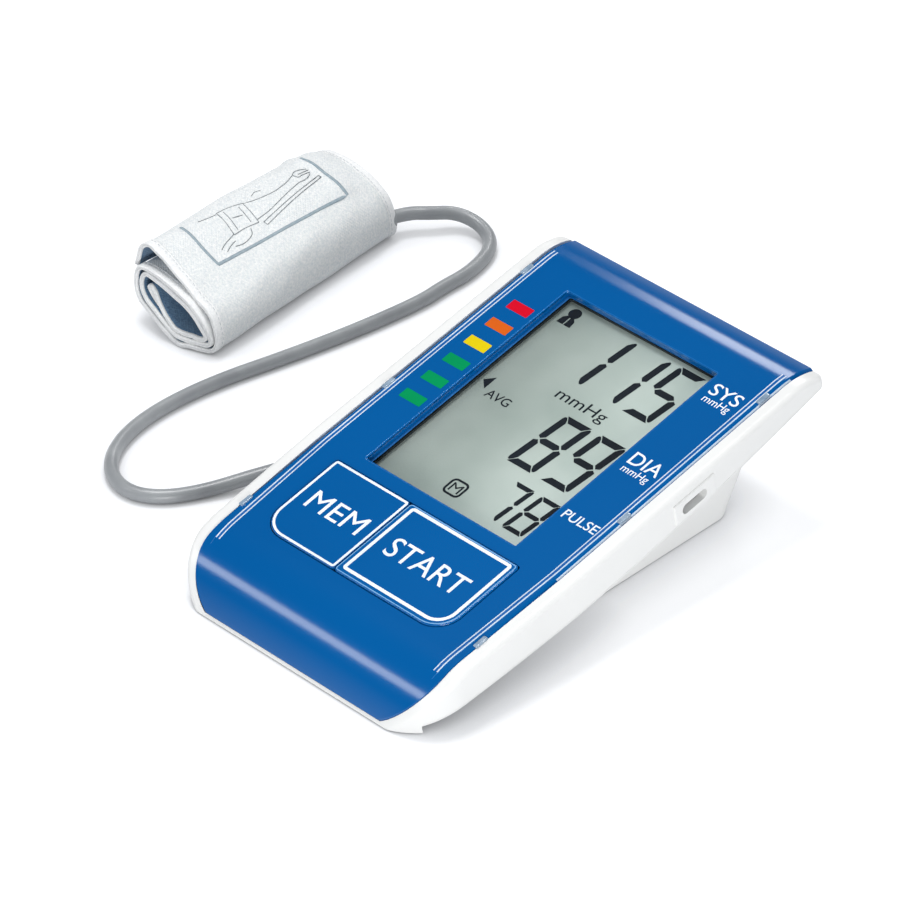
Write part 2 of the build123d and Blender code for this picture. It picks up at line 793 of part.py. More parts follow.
def pump_tube():
    points = [(head_x0 - 0.6, pump_y, pump_z), (channel_x, pump_y, pump_z),
              (channel_x, air_y + 12.0, air_z), (channel_x, air_y + socket_block + 1.0, air_z)]
    return air_tube(points, [5.0, 8.0])


def sensor_s():
    """s of the pressure sensor, whose nozzle points at the tee's upper one."""
    return to_slab(tee_y, sensor_turn_z)[0]


def air_tee():
    body = rod((channel_x, tee_y - 4, tee_z), (0, 1, 0), 8, tee_radius)
    body += rod((channel_x, tee_y, tee_z), (0, 0, 1), tee_radius + 1.7, nozzle_radius)
    for step in (-1, 1):
        body += rod((channel_x, tee_y + 4 * step, tee_z), (0, step, 0), nozzle_length, nozzle_radius)
    return body


def socket_tube():
    y0, y1 = air_y - socket_block - 0.6, tee_y + 4.6
    middle = (y0 + y1) / 2
    return air_tube([(channel_x, y0, air_z), (channel_x, middle + 2, air_z),
                     (channel_x, middle - 2, tee_z), (channel_x, y1, tee_z)], [5.0, 5.0])


def sensor_tube():
    """The short tube between the tee's upper nozzle and the sensor's, which leans with the board."""
    a = math.radians(tilt)
    h = -board_under - sensor_height
    s = sensor_s()
    top = (face_y + s * math.cos(a) - h * math.sin(a), face_height + s * math.sin(a) + h * math.cos(a))
    start = (channel_x, top[0] + 0.5 * math.sin(a), top[1] - 0.5 * math.cos(a))
    low = (channel_x, tee_y, tee_z + tee_radius + 0.3)
    return air_tube([start, (channel_x, tee_y, sensor_turn_z), low], [8.0])


def valve_tube():
    y0, y1 = tee_y - 4.6, valve_y + valve_length / 2 + 0.6
    middle = (y0 + y1) / 2
    return air_tube([(channel_x, y0, tee_z), (channel_x, middle + 2, tee_z),
                     (channel_x, middle - 2, valve_z), (channel_x, y1, valve_z)], [8.0, 8.0])


def valve_body():
    y0, y1 = valve_y - valve_length / 2, valve_y + valve_length / 2
    body = box_at(channel_x - 3.4, channel_x + 8.0, y0, y1, foot_floor, valve_z + 4.0)
    body += rod((channel_x, y1, valve_z), (0, 1, 0), nozzle_length, nozzle_radius)
    return body - rod((channel_x + 4.0, y0 - 1, valve_z), (0, 1, 0), 8.0, plunger_radius + running_gap)


def valve_plunger():
    tip = valve_y - valve_length / 2 - valve_stroke
    pin = rod((channel_x + 4.0, tip - 1.0, valve_z), (0, 1, 0), 8.0, plunger_radius)
    return pin + rod((channel_x + 4.0, tip - 1.3, valve_z), (0, 1, 0), 1.0, plunger_radius + 0.8)


def air_socket():
    x0 = -foot_width / 2
    part = rod((x0 - 0.6, air_y, air_z), (1, 0, 0), 3.0, socket_radius)
    part += rod((x0, air_y, air_z), (-1, 0, 0), socket_flange, socket_radius + 1.0)
    b = socket_block
    part += box_at(x0 + floor_wall, channel_x + 3.0, air_y - b, air_y + b, air_z - b, air_z + b)
    for step in (-1, 1):
        part += rod((channel_x, air_y + b * step, air_z), (0, step, 0), nozzle_length, nozzle_radius)
    return part - rod((x0 - 2, air_y, air_z), (1, 0, 0), socket_bore_depth + 2, socket_bore)


plug_face_x = -foot_width / 2 - socket_flange - 0.1
plug_x = plug_face_x - 5.0


def air_plug():
    stem = rod((plug_face_x, air_y, air_z), (1, 0, 0), stem_length, socket_bore - stem_clearance)
    stem -= rod((plug_face_x, air_y, air_z), (1, 0, 0), stem_length + 1, 1.0)
    body = rod((plug_face_x, air_y, air_z), (-1, 0, 0), 8.0, 4.2)
    body = fillet(body.edges().sort_by(Axis.X)[0], 2.0)
    arm = rod((plug_x, air_y, air_z), (0, -1, 0), plug_arm, 3.6)
    return body + stem + arm


# ---------------------------------------------------------------- hose and cuff
port_start = (-131.2, 37.6, 6.0)
port_turn = (2.2, 5.6, 0.2)
port_length = 10.3
port_lead = 5.0             # how far the hose goes straight on, past the sleeve
port_end = tuple(p + port_length * c / math.hypot(*port_turn) for p, c in zip(port_start, port_turn))
port_ahead = tuple(p + port_lead * c / math.hypot(*port_turn) for p, c in zip(port_end, port_turn))
hose_route = [
    port_end, port_ahead,
    (-121.1, 56.3, 6.4), (-116.9, 62.7, 5.6), (-110.0, 65.3, 4.0), (-102.7, 63.3, 2.7), (-98.0, 57.3, 2.1),
    (-95.2, 46.0, 2.1), (-95.6, 36.0, 2.1),
    (-94.9, 26.0, 2.1), (-97.9, 3.5, 2.1), (-102.6, -20.0, 2.1), (-108.5, -43.5, 2.1),
    (-110.4, -63.0, 2.1), (-108.4, -78.5, 2.1), (-103.0, -89.6, 2.1), (-95.2, -96.0, 2.1),
    (-86.2, -97.0, 2.1), (-78.4, -91.8, 2.1), (-72.4, -81.4, 2.1), (-66.4, -68.4, 3.6),
    (-58.4, -56.6, 6.2), (-50.6, -46.8, 8.4), (plug_x - 1.5, -38.6, 9.1), (plug_x, -33.0, air_z),
    (plug_x, air_y - plug_arm, air_z),
]


def hose_radii():
    """Each bend as large as its two runs allow."""
    points = [Vector(*p) for p in hose_route]
    radii = []
    for a, b, c in zip(points, points[1:], points[2:]):
        turn = (b - a).get_angle(c - b)
        radii.append(0.45 * min((b - a).length, (c - b).length) / math.tan(math.radians(turn / 2)))
    return radii


def air_hose():
    radii = hose_radii()
    path = FilletPolyline(*hose_route, radius=radii)
    start = Plane(origin=path @ 0, z_dir=path % 0)
    hose = sweep(start * Circle(hose_diameter / 2), path=path)
    section = math.pi * hose_diameter ** 2 / 4
    print("hose bend radii", [round(r, 1) for r in radii])
    print("hose length", round(path.length, 1), "volume over section", round(hose.volume / section, 1))
    return hose


def cuff_section(data, inset, y):
    x, z, a, b = data
    plane = Plane(origin=(x, y, z), x_dir=(1, 0, 0), z_dir=(0, -1, 0))
    return plane * Ellipse(a - inset, b - inset)


def cuff_solid(inset, y0=cuff_near_y, y1=cuff_far_y):
    def at(y):
        t = (y - cuff_near_y) / (cuff_far_y - cuff_near_y)
        return [n + (f - n) * t for n, f in zip(cuff_near, cuff_far)]
    return loft([cuff_section(at(y0), inset, y0), cuff_section(at(y1), inset, y1)], ruled=True)


def cuff_ring(inset, thick, y0=cuff_near_y, y1=cuff_far_y):
    return cuff_solid(inset, y0, y1) - cuff_solid(inset + thick, y0 - 0.001, y1 + 0.001)


def port_rod(grow):
    return rod(port_start, port_turn, port_length, hose_diameter / 2 + port_wall + grow)


def cuff_port():
    """The rubber sleeve in which the hose leaves the cuff's layers."""
    start = tuple(p - c for p, c in zip(port_start, port_turn))
    return port_rod(0) - rod(start, port_turn, 30, hose_diameter / 2 - 0.8)


bladder_inset = cuff_cover_thick + cuff_layer_gap
lining_inset = bladder_inset + bladder_thick + cuff_layer_gap


def main():
    os.makedirs("parts", exist_ok=True)
    nodes = {
        "front_housing": [on_slab(front_housing())],
        "rear_housing": [rear_housing()],
        "faceplate": [on_slab(faceplate())],
        "mem_key": [on_slab(key("mem_key"))],
        "start_key": [on_slab(key("start_key"))],
        "mem_switch": [on_slab(switch_base("mem_key"))],
        "start_switch": [on_slab(switch_base("start_key"))],
        "mem_switch_stem": [on_slab(switch_stem("mem_key"))],
        "start_switch_stem": [on_slab(switch_stem("start_key"))],
        "display_window": [on_slab(display_window())],
        "lcd_glass": [on_slab(lcd_glass())],
        "lcd_reflector": [on_slab(lcd_reflector())],
        "lcd_frame": [on_slab(lcd_frame())],
        "lcd_connector": [on_slab(lcd_connector())],
        "circuit_board": [circuit_board()],
        "board_screws": board_screws(),
        "housing_screws": housing_screws(),
        "usb_socket": [usb_socket()],
        "pressure_sensor": [pressure_sensor()],
        "controller_chip": [controller_chip()],
        "buzzer": [buzzer()],
        "rubber_feet": rubber_feet(),
        "battery_door": [battery_door()],
        "cells": cells(),
        "cell_contacts": cell_contacts(),
        "cell_springs": cell_springs(),
        "pump_motor": [pump_motor()],
        "pump_head": [pump_head()],
        "pump_rotor": [pump_rotor()],
        "pump_cushion": pump_cushion(),
        "pump_tube": [pump_tube()],
        "air_tee": [air_tee()],
        "socket_tube": [socket_tube()],
        "sensor_tube": [sensor_tube()],
        "valve_tube": [valve_tube()],
        "valve_body": [valve_body()],
        "valve_plunger": [valve_plunger()],
        "air_socket": [air_socket()],
        "air_plug": [air_plug()],
        "air_hose": [air_hose()],
        "cuff_port": [cuff_port()],
        "cuff_cover": [cuff_ring(0, cuff_cover_thick) - port_rod(port_gap)],
        "cuff_bladder": [cuff_ring(bladder_inset, bladder_thick, cuff_near_y + bladder_margin,
                                   cuff_far_y - bladder_margin) - port_rod(port_gap)],
        "cuff_lining": [cuff_ring(lining_inset, lining_thick) - port_rod(port_gap)],
    }
    for name, solids in nodes.items():
        shape = solids[0] if len(solids) == 1 else Compound(children=list(solids))
        export_step(shape, f"parts/{name}.step")


main()
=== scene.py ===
import math

import bpy
import numpy as np
from mathutils import Matrix, Vector


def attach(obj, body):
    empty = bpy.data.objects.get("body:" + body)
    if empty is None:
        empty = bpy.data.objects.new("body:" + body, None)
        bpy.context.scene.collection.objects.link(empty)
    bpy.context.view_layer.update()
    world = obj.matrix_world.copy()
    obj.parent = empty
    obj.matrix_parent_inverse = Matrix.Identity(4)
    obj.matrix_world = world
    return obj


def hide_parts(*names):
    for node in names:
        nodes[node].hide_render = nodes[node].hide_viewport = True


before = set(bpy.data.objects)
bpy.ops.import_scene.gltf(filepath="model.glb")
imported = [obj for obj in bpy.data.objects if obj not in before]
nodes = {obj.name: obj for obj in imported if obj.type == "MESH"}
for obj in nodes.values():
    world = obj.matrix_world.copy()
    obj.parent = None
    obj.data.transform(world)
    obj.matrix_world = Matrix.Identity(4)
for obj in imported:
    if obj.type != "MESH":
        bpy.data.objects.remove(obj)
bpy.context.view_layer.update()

# ---- Camera ----
# A long lens, so far away that the monitor's sides stay almost parallel. It stands to the right of the monitor,
# in front of it and above it.
camera = bpy.data.objects.new("camera", bpy.data.cameras.new("camera"))
camera.data.lens = 224.0
camera.data.clip_start = 0.05
camera_right = Vector((0.71368, 0.70047, 0.0))
camera_back = Vector((0.56547, -0.57613, 0.59018)).normalized()
camera_up = camera_back.cross(camera_right).normalized()
camera.matrix_world = Matrix.Translation((0.85149, -0.92618, 0.93003)) @ Matrix(
    (camera_right, camera_up, camera_back)).transposed().to_4x4()
bpy.context.scene.collection.objects.link(camera)
bpy.context.scene.camera = camera

# ---- Air hose and its plug ----
# A grey extruded rubber hose of 4.2 mm. It comes out of the cuff's rubber port, lies on the table in one
# long bend, and goes into an L-shaped moulded plug that is pushed into the side of the monitor's foot.
MM = 0.001
hose_route = [
    (-127.436, 47.181, 6.342), (-125.609, 51.833, 6.508), (-121.1, 56.3, 6.4), (-116.9, 62.7, 5.6),
    (-110.0, 65.3, 4.0), (-102.7, 63.3, 2.7), (-98.0, 57.3, 2.1), (-95.2, 46.0, 2.1), (-95.6, 36.0, 2.1),
    (-94.9, 26.0, 2.1), (-97.9, 3.5, 2.1), (-102.6, -20.0, 2.1), (-108.5, -43.5, 2.1), (-110.4, -63.0, 2.1),
    (-108.4, -78.5, 2.1), (-103.0, -89.6, 2.1), (-95.2, -96.0, 2.1), (-86.2, -97.0, 2.1), (-78.4, -91.8, 2.1),
    (-72.4, -81.4, 2.1), (-66.4, -68.4, 3.6), (-58.4, -56.6, 6.2), (-50.6, -46.8, 8.4), (-45.0, -38.6, 9.1),
    (-43.5, -33.0, 9.0), (-43.5, -30.0, 9.0),
]
hose_width = 4.2


def tone(code):
    """A colour as on a paint card, turned into linear values."""
    parts = [int(code[i:i + 2], 16) / 255 for i in (1, 3, 5)]
    return [c / 12.92 if c <= 0.04045 else ((c + 0.055) / 1.055) ** 2.4 for c in parts] + [1.0]


def shade(code, factor):
    """The same colour, lighter or darker."""
    return [min(c * factor, 1.0) for c in tone(code)[:3]] + [1.0]


def finish(name, light, dark, roughness, patch=60.0, grain=1500.0, depth=0.1, rise=0.00005, metallic=0.0,
           shine=0.5, coat=0.0, coat_roughness=0.05, sheen=0.0, spread=0.06):
    """A material: two close colours in soft patches, uneven gloss, and a fine surface grain."""
    material = bpy.data.materials.new(name)
    material.use_nodes = True
    tree = material.node_tree
    shader = tree.nodes["Principled BSDF"]
    shader.inputs["Metallic"].default_value = metallic
    shader.inputs["Specular IOR Level"].default_value = shine
    shader.inputs["Coat Weight"].default_value = coat
    shader.inputs["Coat Roughness"].default_value = coat_roughness
    shader.inputs["Sheen Weight"].default_value = sheen
    place = tree.nodes.new("ShaderNodeTexCoord")
    patches = tree.nodes.new("ShaderNodeTexNoise")
    patches.inputs["Scale"].default_value = patch
    patches.inputs["Detail"].default_value = 3.0
    ramp = tree.nodes.new("ShaderNodeValToRGB")
    ramp.color_ramp.elements[0].position, ramp.color_ramp.elements[1].position = 0.35, 0.65
    ramp.color_ramp.elements[0].color, ramp.color_ramp.elements[1].color = dark, light
    gloss = tree.nodes.new("ShaderNodeMapRange")
    gloss.inputs["To Min"].default_value = max(roughness - spread, 0.02)
    gloss.inputs["To Max"].default_value = min(roughness + spread, 1.0)
    fine = tree.nodes.new("ShaderNodeTexNoise")
    fine.inputs["Scale"].default_value = grain
    fine.inputs["Detail"].default_value = 2.0
    bump = tree.nodes.new("ShaderNodeBump")
    bump.inputs["Strength"].default_value = depth
    bump.inputs["Distance"].default_value = rise
    link = tree.links.new
    link(place.outputs["Object"], patches.inputs["Vector"])
    link(place.outputs["Object"], fine.inputs["Vector"])
    link(patches.outputs["Fac"], ramp.inputs["Fac"])
    link(ramp.outputs["Color"], shader.inputs["Base Color"])
    link(patches.outputs["Fac"], gloss.inputs["Value"])
    link(gloss.outputs["Result"], shader.inputs["Roughness"])
    link(fine.outputs["Fac"], bump.inputs["Height"])
    link(bump.outputs["Normal"], shader.inputs["Normal"])
    return material


def dress(material, *names):
    """Give CAD nodes their finish."""
    for name in names:
        mesh = nodes[name].data
        mesh.materials.clear()
        mesh.materials.append(material)


hose_rubber = finish("hose_rubber", tone("#9DA0A2"), tone("#8E9194"), 0.36, patch=90.0, grain=2600.0, depth=0.2,
                     shine=0.8)
hose_line = bpy.data.curves.new("hose_line", "CURVE")
hose_line.dimensions = "3D"
hose_spline = hose_line.splines.new("NURBS")
hose_spline.points.add(len(hose_route) - 1)
for point, place in zip(hose_spline.points, hose_route):
    point.co = (*(c * MM for c in place), 1.0)
hose_spline.order_u = 3
hose_spline.use_endpoint_u = True
hose_line.resolution_u = 14
hose_line.bevel_depth = hose_width / 2 * MM
hose_line.bevel_resolution = 7
hose_line.use_fill_caps = True
hose_line.materials.append(hose_rubber)
soft_hose = bpy.data.objects.new("soft_air_hose", hose_line)
bpy.context.scene.collection.objects.link(soft_hose)
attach(soft_hose, "hose_and_cuff")
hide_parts("air_hose")

plug_grey = finish("plug_grey", tone("#9A9D9F"), tone("#8C9093"), 0.45, grain=1800.0, depth=0.15)
dress(plug_grey, "air_plug")
dress(hose_rubber, "cuff_port")

# ---- Housing ----
# Two injection moulded shells of white plastic, the upper one with the rim round the faceplate. They are
# screwed together from below, and meet in a parting line along the sides.
white_plastic = finish("white_plastic", tone("#ECECEA"), tone("#E8E8E6"), 0.32, patch=25.0, grain=2200.0,
                       depth=0.05, coat=0.15, coat_roughness=0.2)
dress(white_plastic, "front_housing", "rear_housing")
screw_steel = finish("screw_steel", tone("#B9BBBD"), tone("#A3A6A8"), 0.3, metallic=1.0, grain=3000.0)
dress(screw_steel, "housing_screws", "board_screws")

# ---- Faceplate ----
# A clear plastic plate, printed blue and bent down at both ends. It is glued on the upper shell's deck, and
# three clear lugs on each long side hold its edges.
plate_blue = finish("plate_blue", tone("#005A9E"), tone("#00579A"), 0.3, patch=9.0, grain=900.0, depth=0.02,
                    shine=0.0, coat=1.0, coat_roughness=0.14, spread=0.03)
dress(plate_blue, "faceplate")

slab = Matrix.Translation((0, -0.022, 0.0335)) @ Matrix.Rotation(math.radians(11.5), 4, "X")
plate_half, plate_near, plate_far, plate_round, plate_bevel = 45.7, -102.2, 51.0, 16.0, 1.2
near_bend, near_radius, far_bend, far_radius = -79.5, 27.0, 47.0, 25.0


def face_level(s):
    """How far the bent plate's face lies above its flat part's plane, at s along the slope, in mm."""
    if s < near_bend:
        return math.sqrt(max(near_radius ** 2 - (s - near_bend) ** 2, 0.0)) - near_radius
    if s > far_bend:
        return math.sqrt(max(far_radius ** 2 - (s - far_bend) ** 2, 0.0)) - far_radius
    return 0.0


def fit_piece(name, mesh, body, smooth):
    """A mesh in the object's frame becomes a piece that rides on a body."""
    mesh.polygons.foreach_set("use_smooth", [smooth] * len(mesh.polygons))
    piece = bpy.data.objects.new(name, mesh)
    bpy.context.scene.collection.objects.link(piece)
    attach(piece, body)
    return piece


def add_piece(name, points, faces, material, body, slot, smooth=False):
    """A piece from points in metres and faces."""
    mesh = bpy.data.meshes.new(name)
    mesh.from_pydata([tuple(p) for p in points], [], faces)
    mesh.materials.append(material)
    mesh.update()
    return fit_piece(name, mesh, body, smooth)


def on_slab(x, s, h):
    """A point of the sloping slab, given in mm, in the object's frame in metres."""
    return slab @ Vector((x * MM, s * MM, h * MM))


# The plate is narrower towards its near end: where that starts, and by how much in the end.
taper_start, taper = -42.0, 1.6


def edge_line(side, inset, near):
    """Points of the plate's long edge on one side, moved in by an inset, from the display end to the corner."""
    line = [(side * (plate_half - inset), s) for s in np.linspace(plate_far, taper_start, 40)]
    corner_half = plate_half - taper
    last = plate_near + plate_round
    for t in np.linspace(0.1, 1.0, 16):
        s = taper_start + t * (last - taper_start)
        line.append((side * (plate_half - taper * t - inset), s))
    for angle in np.linspace(0, 90, 11)[1:]:
        a = math.radians(angle)
        line.append((side * (corner_half - plate_round + (plate_round - inset) * math.cos(a)),
                     last - (plate_round - inset) * math.sin(a)))
    return [p for p in line if p[1] > near]


def edge_ribbon(name, side, inset0, inset1, lift, thick, near, material):
    """A thin strip that follows the plate's edge between two insets."""
    outer, inner = edge_line(side, inset0, near), edge_line(side, inset1, near)
    count = min(len(outer), len(inner))
    points = []
    for high in (lift, lift - thick):
        for inset, line in ((inset0, outer), (inset1, inner)):
            drop = max(plate_bevel - inset, 0.0)
            points += [on_slab(x, s, face_level(s) - drop + high) for x, s in line[:count]]
    faces = []
    for i in range(count - 1):
        a, b, c, d = i, count + i, 2 * count + i, 3 * count + i
        faces += [(a, a + 1, b + 1, b), (c, d, d + 1, c + 1), (a, c, c + 1, a + 1), (b, b + 1, d + 1, d)]
    faces += [(0, count, 3 * count, 2 * count)]
    last = count - 1
    faces += [(last, 2 * count + last, 3 * count + last, count + last)]
    if side > 0:
        faces = [tuple(reversed(f)) for f in faces]
    add_piece(name, points, faces, material, "housing", "blue_plate")


# The plate's long edges are clear: its blue print stops short of them. Strips paint how the clear bevels look: the
# white strips are painted highlights, and the blue strips paint the print reflected and refracted in the bevels.
edge_painted_highlight = finish("edge_painted_highlight", tone("#E3ECF4"), tone("#CBDBEA"), 0.15, coat=1.0)
edge_pale = finish("edge_pale", tone("#5E9AD2"), tone("#3F83C4"), 0.15, patch=200.0, coat=1.0)
edge_deep = finish("edge_deep", tone("#1765B0"), tone("#0F5AA5"), 0.2, coat=1.0)
edge_strips = [
    ("rim", 0.0, 0.4, edge_deep), ("outer_highlight", 0.4, 0.8, edge_painted_highlight), ("band", 0.8, 1.9, edge_pale),
    ("middle_highlight", 1.9, 2.3, edge_painted_highlight), ("gutter", 2.3, 3.1, edge_deep), ("inner_highlight", 3.1, 3.45, edge_painted_highlight),
]
strip_lift, strip_thick, outer_end, inner_end = 0.04, 0.3, -89.0, -87.0
for side, side_name in ((-1, "left"), (1, "right")):
    for strip, inset0, inset1, material in edge_strips:
        edge_ribbon(f"plate_edge_{strip}_{side_name}", side, inset0, inset1, strip_lift, strip_thick,
                    outer_end if strip in ("rim", "outer_highlight", "band") else inner_end, material)


def spaced_tree():
    """A node tree that sets rounded blocks evenly along curves, their length along the curve."""
    tree = bpy.data.node_groups.new("evenly_spaced", "GeometryNodeTree")
    tree.interface.new_socket("Geometry", in_out="OUTPUT", socket_type="NodeSocketGeometry")
    for name, kind in (("Paths", "Geometry"), ("Count", "Int"), ("Length", "Float"), ("Width", "Float"),
                       ("Height", "Float"), ("Roundness", "Int"), ("Edge Hold", "Float"), ("Finish", "Material")):
        tree.interface.new_socket(name, in_out="INPUT", socket_type="NodeSocket" + kind)
    given, made = tree.nodes.new("NodeGroupInput"), tree.nodes.new("NodeGroupOutput")
    places = tree.nodes.new("GeometryNodeCurveToPoints")
    size = tree.nodes.new("ShaderNodeCombineXYZ")
    block = tree.nodes.new("GeometryNodeMeshCube")
    soften = tree.nodes.new("GeometryNodeSubdivisionSurface")
    copies = tree.nodes.new("GeometryNodeInstanceOnPoints")
    real = tree.nodes.new("GeometryNodeRealizeInstances")
    paint = tree.nodes.new("GeometryNodeSetMaterial")
    for source, socket, target, place in (
            (given, "Paths", places, "Curve"), (given, "Count", places, "Count"), (given, "Height", size, "X"),
            (given, "Width", size, "Y"), (given, "Length", size, "Z"), (size, "Vector", block, "Size"),
            (block, "Mesh", soften, "Mesh"), (given, "Roundness", soften, "Level"),
            (given, "Edge Hold", soften, "Edge Crease"), (soften, "Mesh", copies, "Instance"),
            (places, "Points", copies, "Points"), (places, "Rotation", copies, "Rotation"),
            (copies, "Instances", real, "Geometry"), (real, "Geometry", paint, "Geometry"),
            (given, "Finish", paint, "Material"), (paint, "Geometry", made, "Geometry")):
        tree.links.new(source.outputs[socket], target.inputs[place])
    return tree


even_tree = spaced_tree()


def spaced_parts(name, paths, inputs, material, body):
    """Equal small parts along paths, made by the node tree and baked to one plain mesh."""
    line = bpy.data.curves.new(name + "_paths", "CURVE")
    line.dimensions = "3D"
    line.twist_mode = "Z_UP"
    for path in paths:
        spline = line.splines.new("POLY")
        spline.points.add(len(path) - 1)
        for point, place in zip(spline.points, path):
            point.co = (*place, 1.0)
    holder = bpy.data.objects.new(name + "_paths", line)
    bpy.context.scene.collection.objects.link(holder)
    spread = holder.modifiers.new("spread", "NODES")
    spread.node_group = even_tree
    for item in even_tree.interface.items_tree:
        if item.in_out == "INPUT" and item.name in inputs:
            spread[item.identifier] = inputs[item.name]
        elif item.in_out == "INPUT" and item.name == "Finish":
            spread[item.identifier] = material
    bpy.context.view_layer.update()
    mesh = bpy.data.meshes.new_from_object(holder.evaluated_get(bpy.context.evaluated_depsgraph_get()))
    bpy.data.objects.remove(holder)
    mesh.name = name
    fit_piece(name, mesh, body, smooth=True)


lug_clear = finish("lug_clear", tone("#9DB0C2"), tone("#7C93A9"), 0.2, patch=300.0, coat=1.0)
lug_paths = [[tuple(on_slab(side * (plate_half - 1.15), s, 0.02)) for s in (-72.0, 40.5)] for side in (-1, 1)]
spaced_parts("plate_lugs", lug_paths, {"Count": 3, "Length": 4.4 * MM, "Width": 0.7 * MM, "Height": 1.3 * MM,
                                       "Roundness": 3, "Edge Hold": 0.7}, lug_clear, "housing")

# ---- Display ----
# A grey-green segment glass in a recess, behind a clear window. A dark gasket closes the recess all round, and its
# dark colour also paints the shadow in the recess. The plate's opening has a polished bevel.
display_x, display_half, display_reach = -0.6, 28.3, 40.65


def prism(outlines, low, high):
    """Points and faces of upright prisms over outlines in mm."""
    points, faces = [], []
    for outline in outlines:
        first, count = len(points), len(outline)
        for h in (low, high):
            points += [on_slab(x, s, h) for x, s in outline]
        faces.append(tuple(first + count + i for i in range(count)))
        faces.append(tuple(first + i for i in reversed(range(count))))
        for i in range(count):
            j = (i + 1) % count
            faces.append((first + i, first + j, first + count + j, first + count + i))
    return points, faces


def loop(outer, inner, low, high, inner_high=None):
    """Points and faces of a frame between two outlines that have as many points."""
    inner_high = high if inner_high is None else inner_high
    count = len(outer)
    points = [on_slab(x, s, h) for line, h in ((outer, low), (outer, high), (inner, inner_high), (inner, low))
              for x, s in line]
    faces = []
    for i in range(count):
        j = (i + 1) % count
        for ring in range(4):
            a, b = ring * count, (ring + 1) % 4 * count
            faces.append((a + i, a + j, b + j, b + i))
    return points, faces


def rounded(x0, x1, s0, s1, radii, steps=8):
    """A rectangle with its own radius at each corner: near right, far right, far left, near left."""
    outline = []
    corners = ((x1, s0, -90), (x1, s1, 0), (x0, s1, 90), (x0, s0, 180))
    for (x, s, start), radius in zip(corners, radii):
        radius = max(radius, 0.001)
        cx = x - math.copysign(radius, x - (x0 + x1) / 2)
        cs = s - math.copysign(radius, s - (s0 + s1) / 2)
        for i in range(steps + 1):
            a = math.radians(start + 90 * i / steps)
            outline.append((cx + radius * math.cos(a), cs + radius * math.sin(a)))
    return outline


def display_outline(left, right, near, far, radius):
    """The display's opening, grown by its own amount on each side."""
    return rounded(display_x - display_half - left, display_x + display_half + right,
                   -display_reach - near, display_reach + far, (radius,) * 4)


glass_green = finish("glass_green", tone("#D0DDD5"), tone("#B9C8C0"), 0.35, patch=30.0, grain=700.0, depth=0.02,
                     shine=0.1)
dress(glass_green, "lcd_glass")
# Painted shade: the glass's colour goes from darker on its left to paler on its right, standing for how the light
# falls across the display.
glass_tree = glass_green.node_tree
across = glass_tree.nodes.new("ShaderNodeSeparateXYZ")
painted_shade_ramp = glass_tree.nodes.new("ShaderNodeMapRange")
for socket, value in (("From Min", -0.029), ("From Max", 0.028), ("To Min", 0.53), ("To Max", 1.02)):
    painted_shade_ramp.inputs[socket].default_value = value
painted_shade_mix = glass_tree.nodes.new("ShaderNodeMix")
painted_shade_mix.data_type, painted_shade_mix.blend_type = "RGBA", "MULTIPLY"
painted_shade_mix.inputs["Factor"].default_value = 1.0
link = glass_tree.links.new
link(glass_tree.nodes["Texture Coordinate"].outputs["Object"], across.inputs["Vector"])
link(across.outputs["X"], painted_shade_ramp.inputs["Value"])
link(painted_shade_ramp.outputs["Result"], painted_shade_mix.inputs["B"])
link(glass_tree.nodes["Color Ramp"].outputs["Color"], painted_shade_mix.inputs["A"])
link(painted_shade_mix.outputs["Result"], glass_tree.nodes["Principled BSDF"].inputs["Base Color"])
# Partly painted shadow: the gasket is a real part, and its near-black colour also stands for the shade inside the
# display's recess.
gasket_painted_shadow = finish("gasket_painted_shadow", tone("#2A3234"), tone("#1E2527"), 0.6)
bevel_blue = finish("bevel_blue", tone("#3E8FD6"), tone("#2C7DC6"), 0.2, coat=1.0)
print_blue = finish("print_blue", tone("#2477BE"), tone("#1B6AB0"), 0.3)
add_piece("display_gasket", *loop(display_outline(1.5, 1.5, 1.5, 1.5, 0.6), display_outline(-0.5, 0.3, 0.3, 0.3, 0.6),
                                  -3.8, -2.965), gasket_painted_shadow, "housing", "elastomer")
add_piece("display_border", *loop(display_outline(1.8, 1.8, 1.8, 1.8, 0.6), display_outline(-0.8, 0.2, 0.2, -0.1, 0.6),
                                  -1.945, -1.86), print_blue, "housing", "blue_plate")
add_piece("display_bevel", *loop(display_outline(0.5, 0.35, 0.35, 0.35, 0.9), display_outline(0.0, 0.0, 0.0, 0.0, 0.6),
                                 -0.3, 0.03, -0.12), bevel_blue, "housing", "blue_plate")

window_clear = finish("window_clear", tone("#1E2527"), tone("#191F21"), 0.05, spread=0.02)
window_clear.node_tree.nodes["Principled BSDF"].inputs["Alpha"].default_value = 0.03
dress(window_clear, "display_window")

# The lit segments: three rows of figures, their unit, a person's mark, a pointer with AVG, and a boxed M.
segment_dark = finish("segment_dark", tone("#1A222B"), tone("#151C24"), 0.5, shine=0.1)
glass_face = -3.85
segment_low, segment_high = glass_face + 0.005, glass_face + 0.04


